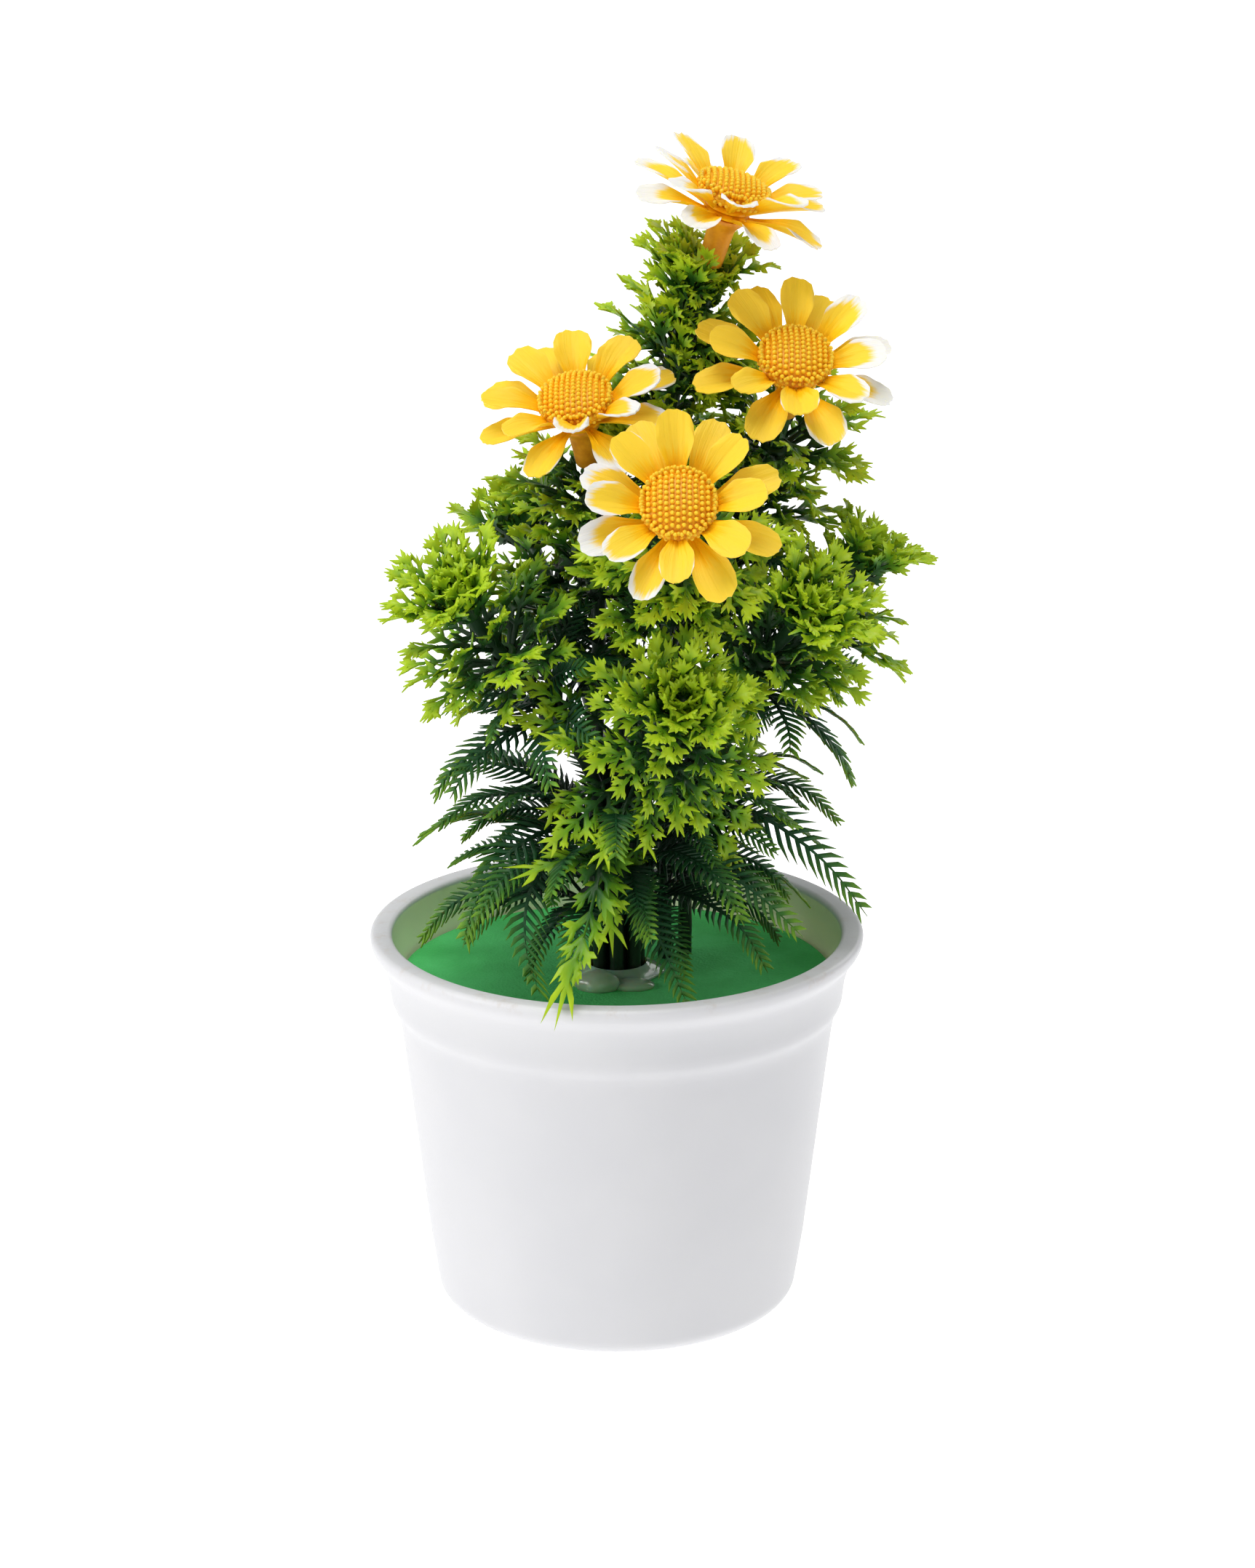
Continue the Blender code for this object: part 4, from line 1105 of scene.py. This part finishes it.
def make_tuft(head, matrix):
    skin = Skin("tone")
    steps = np.linspace(0, 1, 9)
    top = [(TUFT_RADIUS * 0.93 * s, dome(TUFT_RADIUS * s)) for s in steps]
    profile = [*top, (TUFT_RADIUS * 0.9, TUFT_FOOT + 0.9 * MM), (3.4 * MM, TUFT_FOOT), (0, TUFT_FOOT)]
    points, faces = lathe(profile[::-1], 40)
    skin.add(carried(points, matrix), faces, tone=0.12)
    turn = matrix[:3, :3]
    rows = int(TUFT_RADIUS / PIN_PITCH)
    for row in range(-rows, rows + 1):
        streak = rng.uniform(-0.08, 0.10)
        for column in range(-rows, rows + 1):
            x = column * PIN_PITCH + rng.uniform(-0.05, 0.05) * MM
            y = row * PIN_PITCH + (column % 2) * 0.25 * PIN_PITCH
            radius = math.hypot(x, y)
            if radius > TUFT_RADIUS * 0.90:
                continue
            lean = 0.55 * (radius / TUFT_RADIUS) ** 2
            direction = np.array((x / TUFT_RADIUS * lean * 1.4, y / TUFT_RADIUS * lean * 1.4, 1.0))
            place = carried(np.array([(x, y, dome(radius))]), matrix)[0]
            add_pin(skin, place, turn @ direction, 0.30 + streak + rng.uniform(-0.05, 0.05))
    for level, tilt in ((0.9, 0.5), (2.0, 0.8), (3.0, 1.2)):
        for k in range(SIDE_PINS):
            a = 2 * math.pi * (k + (level > 1.5) * 0.5) / SIDE_PINS
            out = np.array((math.cos(a), math.sin(a), 0))
            place = carried(np.array([out * TUFT_RADIUS * 0.86 + (0, 0, TUFT_FOOT + level * MM)]), matrix)[0]
            add_pin(skin, place, turn @ (out + (0, 0, tilt)), 0.22 + rng.uniform(-0.05, 0.05))
    skin.make(f"{head}_tuft", f"{head}_head", "golden_centre", [f"{head}_centre"])


def make_calyx(head, matrix):
    """The tube that holds the head, which widens to a flange under the petals."""
    profile = in_mm((0, -3.0), (1.6, -3.0), (1.6, -9.5), (1.95, -9.5), (2.15, -9.2), (2.2, -8.0),
                    (2.32, -5.0), (2.45, -2.6), (2.8, -1.7), (3.4, -1.05), (3.6, -0.6), (3.5, -0.15),
                    (3.1, 0.0), (1.5, 0.0), (1.5, 3.6), (0, 3.6))
    points, faces = lathe(profile, 36)
    skin = Skin()
    skin.add(carried(points, matrix), faces)
    skin.make(f"{head}_calyx_moulded", f"{head}_head", "orange_calyx", [f"{head}_calyx"])


def make_head(joint):
    head = joint["name"].removesuffix("_swivel")
    matrix = frame_on(joint["pos_m"], joint["axis"])
    make_calyx(head, matrix)
    make_petal_ring(head, "lower", matrix)
    make_petal_ring(head, "upper", matrix)
    make_tuft(head, matrix)


# ---- pot and filling


RIM_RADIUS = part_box("pot")[1].x
POT_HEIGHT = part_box("pot")[1].z
DISC_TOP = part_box("foam_disc")[1].z
DISC_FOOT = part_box("foam_disc")[0].z
DISC_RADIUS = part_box("foam_disc")[1].x
BUNDLE_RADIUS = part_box("glue_collar")[1].x - 2.6 * MM
POT_SEGMENTS = 160


def make_pot():
    wall = 1.4 * MM
    band = RIM_RADIUS - 2.8 * MM
    lip_foot = POT_HEIGHT - 3.6 * MM
    band_foot = POT_HEIGHT - 13.5 * MM
    shoulder_foot = band_foot - 6.0 * MM
    body_top = band - 3.2 * MM
    base = 33.4 * MM
    inside = [(0, 1.8 * MM), (base - 6 * MM, 1.8 * MM)]
    inside += arc((base - 5.6 * MM, 5.8 * MM), 4.0 * MM, -90, -4, 7)
    inside += [(body_top - wall, shoulder_foot), (band - 0.9 * MM - wall, band_foot),
               (band - wall, lip_foot), (band - wall + 0.2 * MM, POT_HEIGHT - 1.2 * MM)]
    mouth = band - wall + 0.2 * MM
    lip = arc((mouth + 0.9 * MM, POT_HEIGHT - 0.9 * MM), 0.9 * MM, 180, 90, 6)
    lip += arc((RIM_RADIUS - 1.0 * MM, POT_HEIGHT - 1.0 * MM), 1.0 * MM, 90, 0, 7)
    outside = [(RIM_RADIUS - inward, POT_HEIGHT - depth) for inward, depth in in_mm(
        (0.1, 1.8), (0.4, 2.5), (0.9, 3.2), (1.5, 3.9), (2.05, 4.7), (2.45, 5.8), (3.2, 8.5), (3.5, 11.0),
        (3.65, 12.4), (3.95, 13.3), (4.35, 14.0), (4.75, 14.8), (5.15, 16.2), (5.45, 18.0))]
    for share in (0.8, 0.6, 0.4, 0.2):
        height = 4 * MM + (shoulder_foot - 4 * MM) * share
        outside.append((base + (body_top - base) * share + 0.35 * MM, height))
    corner = [(base - 4 * MM + 4 * MM * math.cos(a), 4 * MM - 3.4 * MM * math.sin(a))
              for a in np.radians(np.linspace(0, 90, 9))]
    foot = in_mm((28.4, 0.6), (28.2, 0.5), (27.8, 0.08), (27.5, 0.0), (24.5, 0.0), (24.0, 0.35),
                 (2.2, 0.35), (1.9, 0.1), (0, 0.1))
    points, faces = lathe((inside + lip + outside + corner + foot)[::-1], POT_SEGMENTS)
    # The profile runs from the foot's middle to the inside's. These two are the last points, in that order.
    # The inside wall's points carry the mark for its painted light.
    painted_light_inside = np.zeros(len(points))
    painted_light_inside[-2 - (len(inside) - 1) * POT_SEGMENTS:] = 1
    painted_light_inside[-2] = 0
    angles = np.arctan2(points[:, 1], points[:, 0])
    sway = np.sin(2 * angles + 0.6) * 0.10 * MM + np.sin(3 * angles) * 0.05 * MM
    share = smooth_step((points[:, 2] - 40 * MM) / (30 * MM))
    radii = np.hypot(points[:, 0], points[:, 1])
    points[:, :2] *= (1 + sway * share / np.maximum(radii, 1 * MM))[:, None]
    skin = Skin("inside")
    skin.add(points, faces, inside=painted_light_inside)
    skin.make("pot_shell", BUSH, "white_plastic", ["pot"], crease=35.0)


def make_disc():
    """The foam disc, with a worn edge and slightly dented on top."""
    hole = BUNDLE_RADIUS - 0.2 * MM
    rings = np.linspace(hole + 0.4 * MM, DISC_RADIUS - 0.5 * MM, 22)
    profile = [(hole, DISC_FOOT), (hole, DISC_TOP - 0.3 * MM)]
    profile += [(r, DISC_TOP) for r in rings]
    profile += [(DISC_RADIUS - 0.1 * MM, DISC_TOP - 0.25 * MM), (DISC_RADIUS, DISC_TOP - 0.6 * MM),
                (DISC_RADIUS, DISC_FOOT)]
    points, faces = lathe(profile[::-1], 120, closed=True)
    x, y = points[:, 0] / MM, points[:, 1] / MM
    top = points[:, 2] > DISC_TOP - 0.1 * MM
    dents = 0.10 * np.sin(x * 0.31 + 1.0) * np.sin(y * 0.27) + 0.05 * np.sin(x * 1.7 + y * 0.9)
    points[:, 2] += np.where(top, (dents - 0.12) * MM, 0)
    skin = Skin()
    skin.add(points, faces)
    skin.make("foam_disc_cut", BUSH, "green_foam", ["foam_disc"])


def add_blob(skin, middle, radii, seed):
    """A lump of set glue: a soft, slightly lopsided ball."""
    levels = np.linspace(-90, 90, 15)
    profile = [(math.cos(math.radians(a)), math.sin(math.radians(a))) for a in levels]
    profile[0], profile[-1] = (0, -1), (0, 1)
    points, faces = lathe(profile, 26)
    swell = 1 + 0.08 * np.sin(points[:, 0] * 3 + seed) + 0.06 * np.sin(points[:, 1] * 4 + seed * 2)
    skin.add(points * swell[:, None] * np.array(radii) + np.array(middle), faces)


def make_glue():
    """The collar of glue round the bundle's foot, and the lump that ran out in front of it."""
    inner = BUNDLE_RADIUS
    profile = [(inner + out, DISC_TOP + up) for out, up in in_mm(
        (0, 0.1), (0, 2.4), (0.7, 1.7), (1.6, 0.9), (2.5, 0.4), (2.6, 0.1))]
    points, faces = lathe(profile[::-1], 44, closed=True)
    angles = np.arctan2(points[:, 1], points[:, 0])
    swell = 1 + 0.09 * np.sin(3 * angles + 1) + 0.05 * np.sin(5 * angles)
    outside = np.hypot(points[:, 0], points[:, 1]) > inner + 0.3 * MM
    points[:, :2] *= np.where(outside, swell, 1.0)[:, None]
    skin = Skin()
    skin.add(points, faces)
    add_blob(skin, (-3.6 * MM, -8.4 * MM, DISC_TOP + 1.0 * MM), (4.2 * MM, 2.9 * MM, 2.2 * MM), 1.0)
    add_blob(skin, (3.2 * MM, -7.6 * MM, DISC_TOP + 0.3 * MM), (4.2 * MM, 2.2 * MM, 1.1 * MM), 2.4)
    skin.make("glue_set", BUSH, "clear_glue", ["glue_collar"])


# ---- the whole bush


LOOKS = make_looks()
make_camera()
make_stage()

make_pot()
make_disc()
make_glue()
plug = frame["nodes"]["filler_plug"]
plug.data.materials.clear()
plug.data.materials.append(LOOKS["pale_foam"].material)

for joint in frame["joints"]:
    HEAD_SPACES.append(HeadSpace(joint))
    make_head(joint)

PATTERNS = make_patterns()
# The inner and outer radius of the hubs on one stem and on the whole bundle, and the bundle's middle line.
STEM_HUB_RADII = (1.65 * MM, 2.70 * MM)
SKIRT_HUB_RADII = (5.70 * MM, 7.10 * MM)
BUNDLE_LINE = np.array([(0.0, 0.0, z * MM) for z in (60, 80, 100, 120)])
for node in sorted(frame["nodes"]):
    if not node.endswith("_stem"):
        continue
    line = stem_line(node)
    make_stem(node, line)
    stem = node.removesuffix("_stem")
    for other in sorted(frame["nodes"]):
        if other.startswith(stem) and kind_of(other):
            make_whorl(other, line, STEM_HUB_RADII)
for node in ("fern_low_skirt", "fern_mid_skirt", "fern_top_skirt"):
    make_whorl(node, BUNDLE_LINE, SKIRT_HUB_RADII)
make_trails()
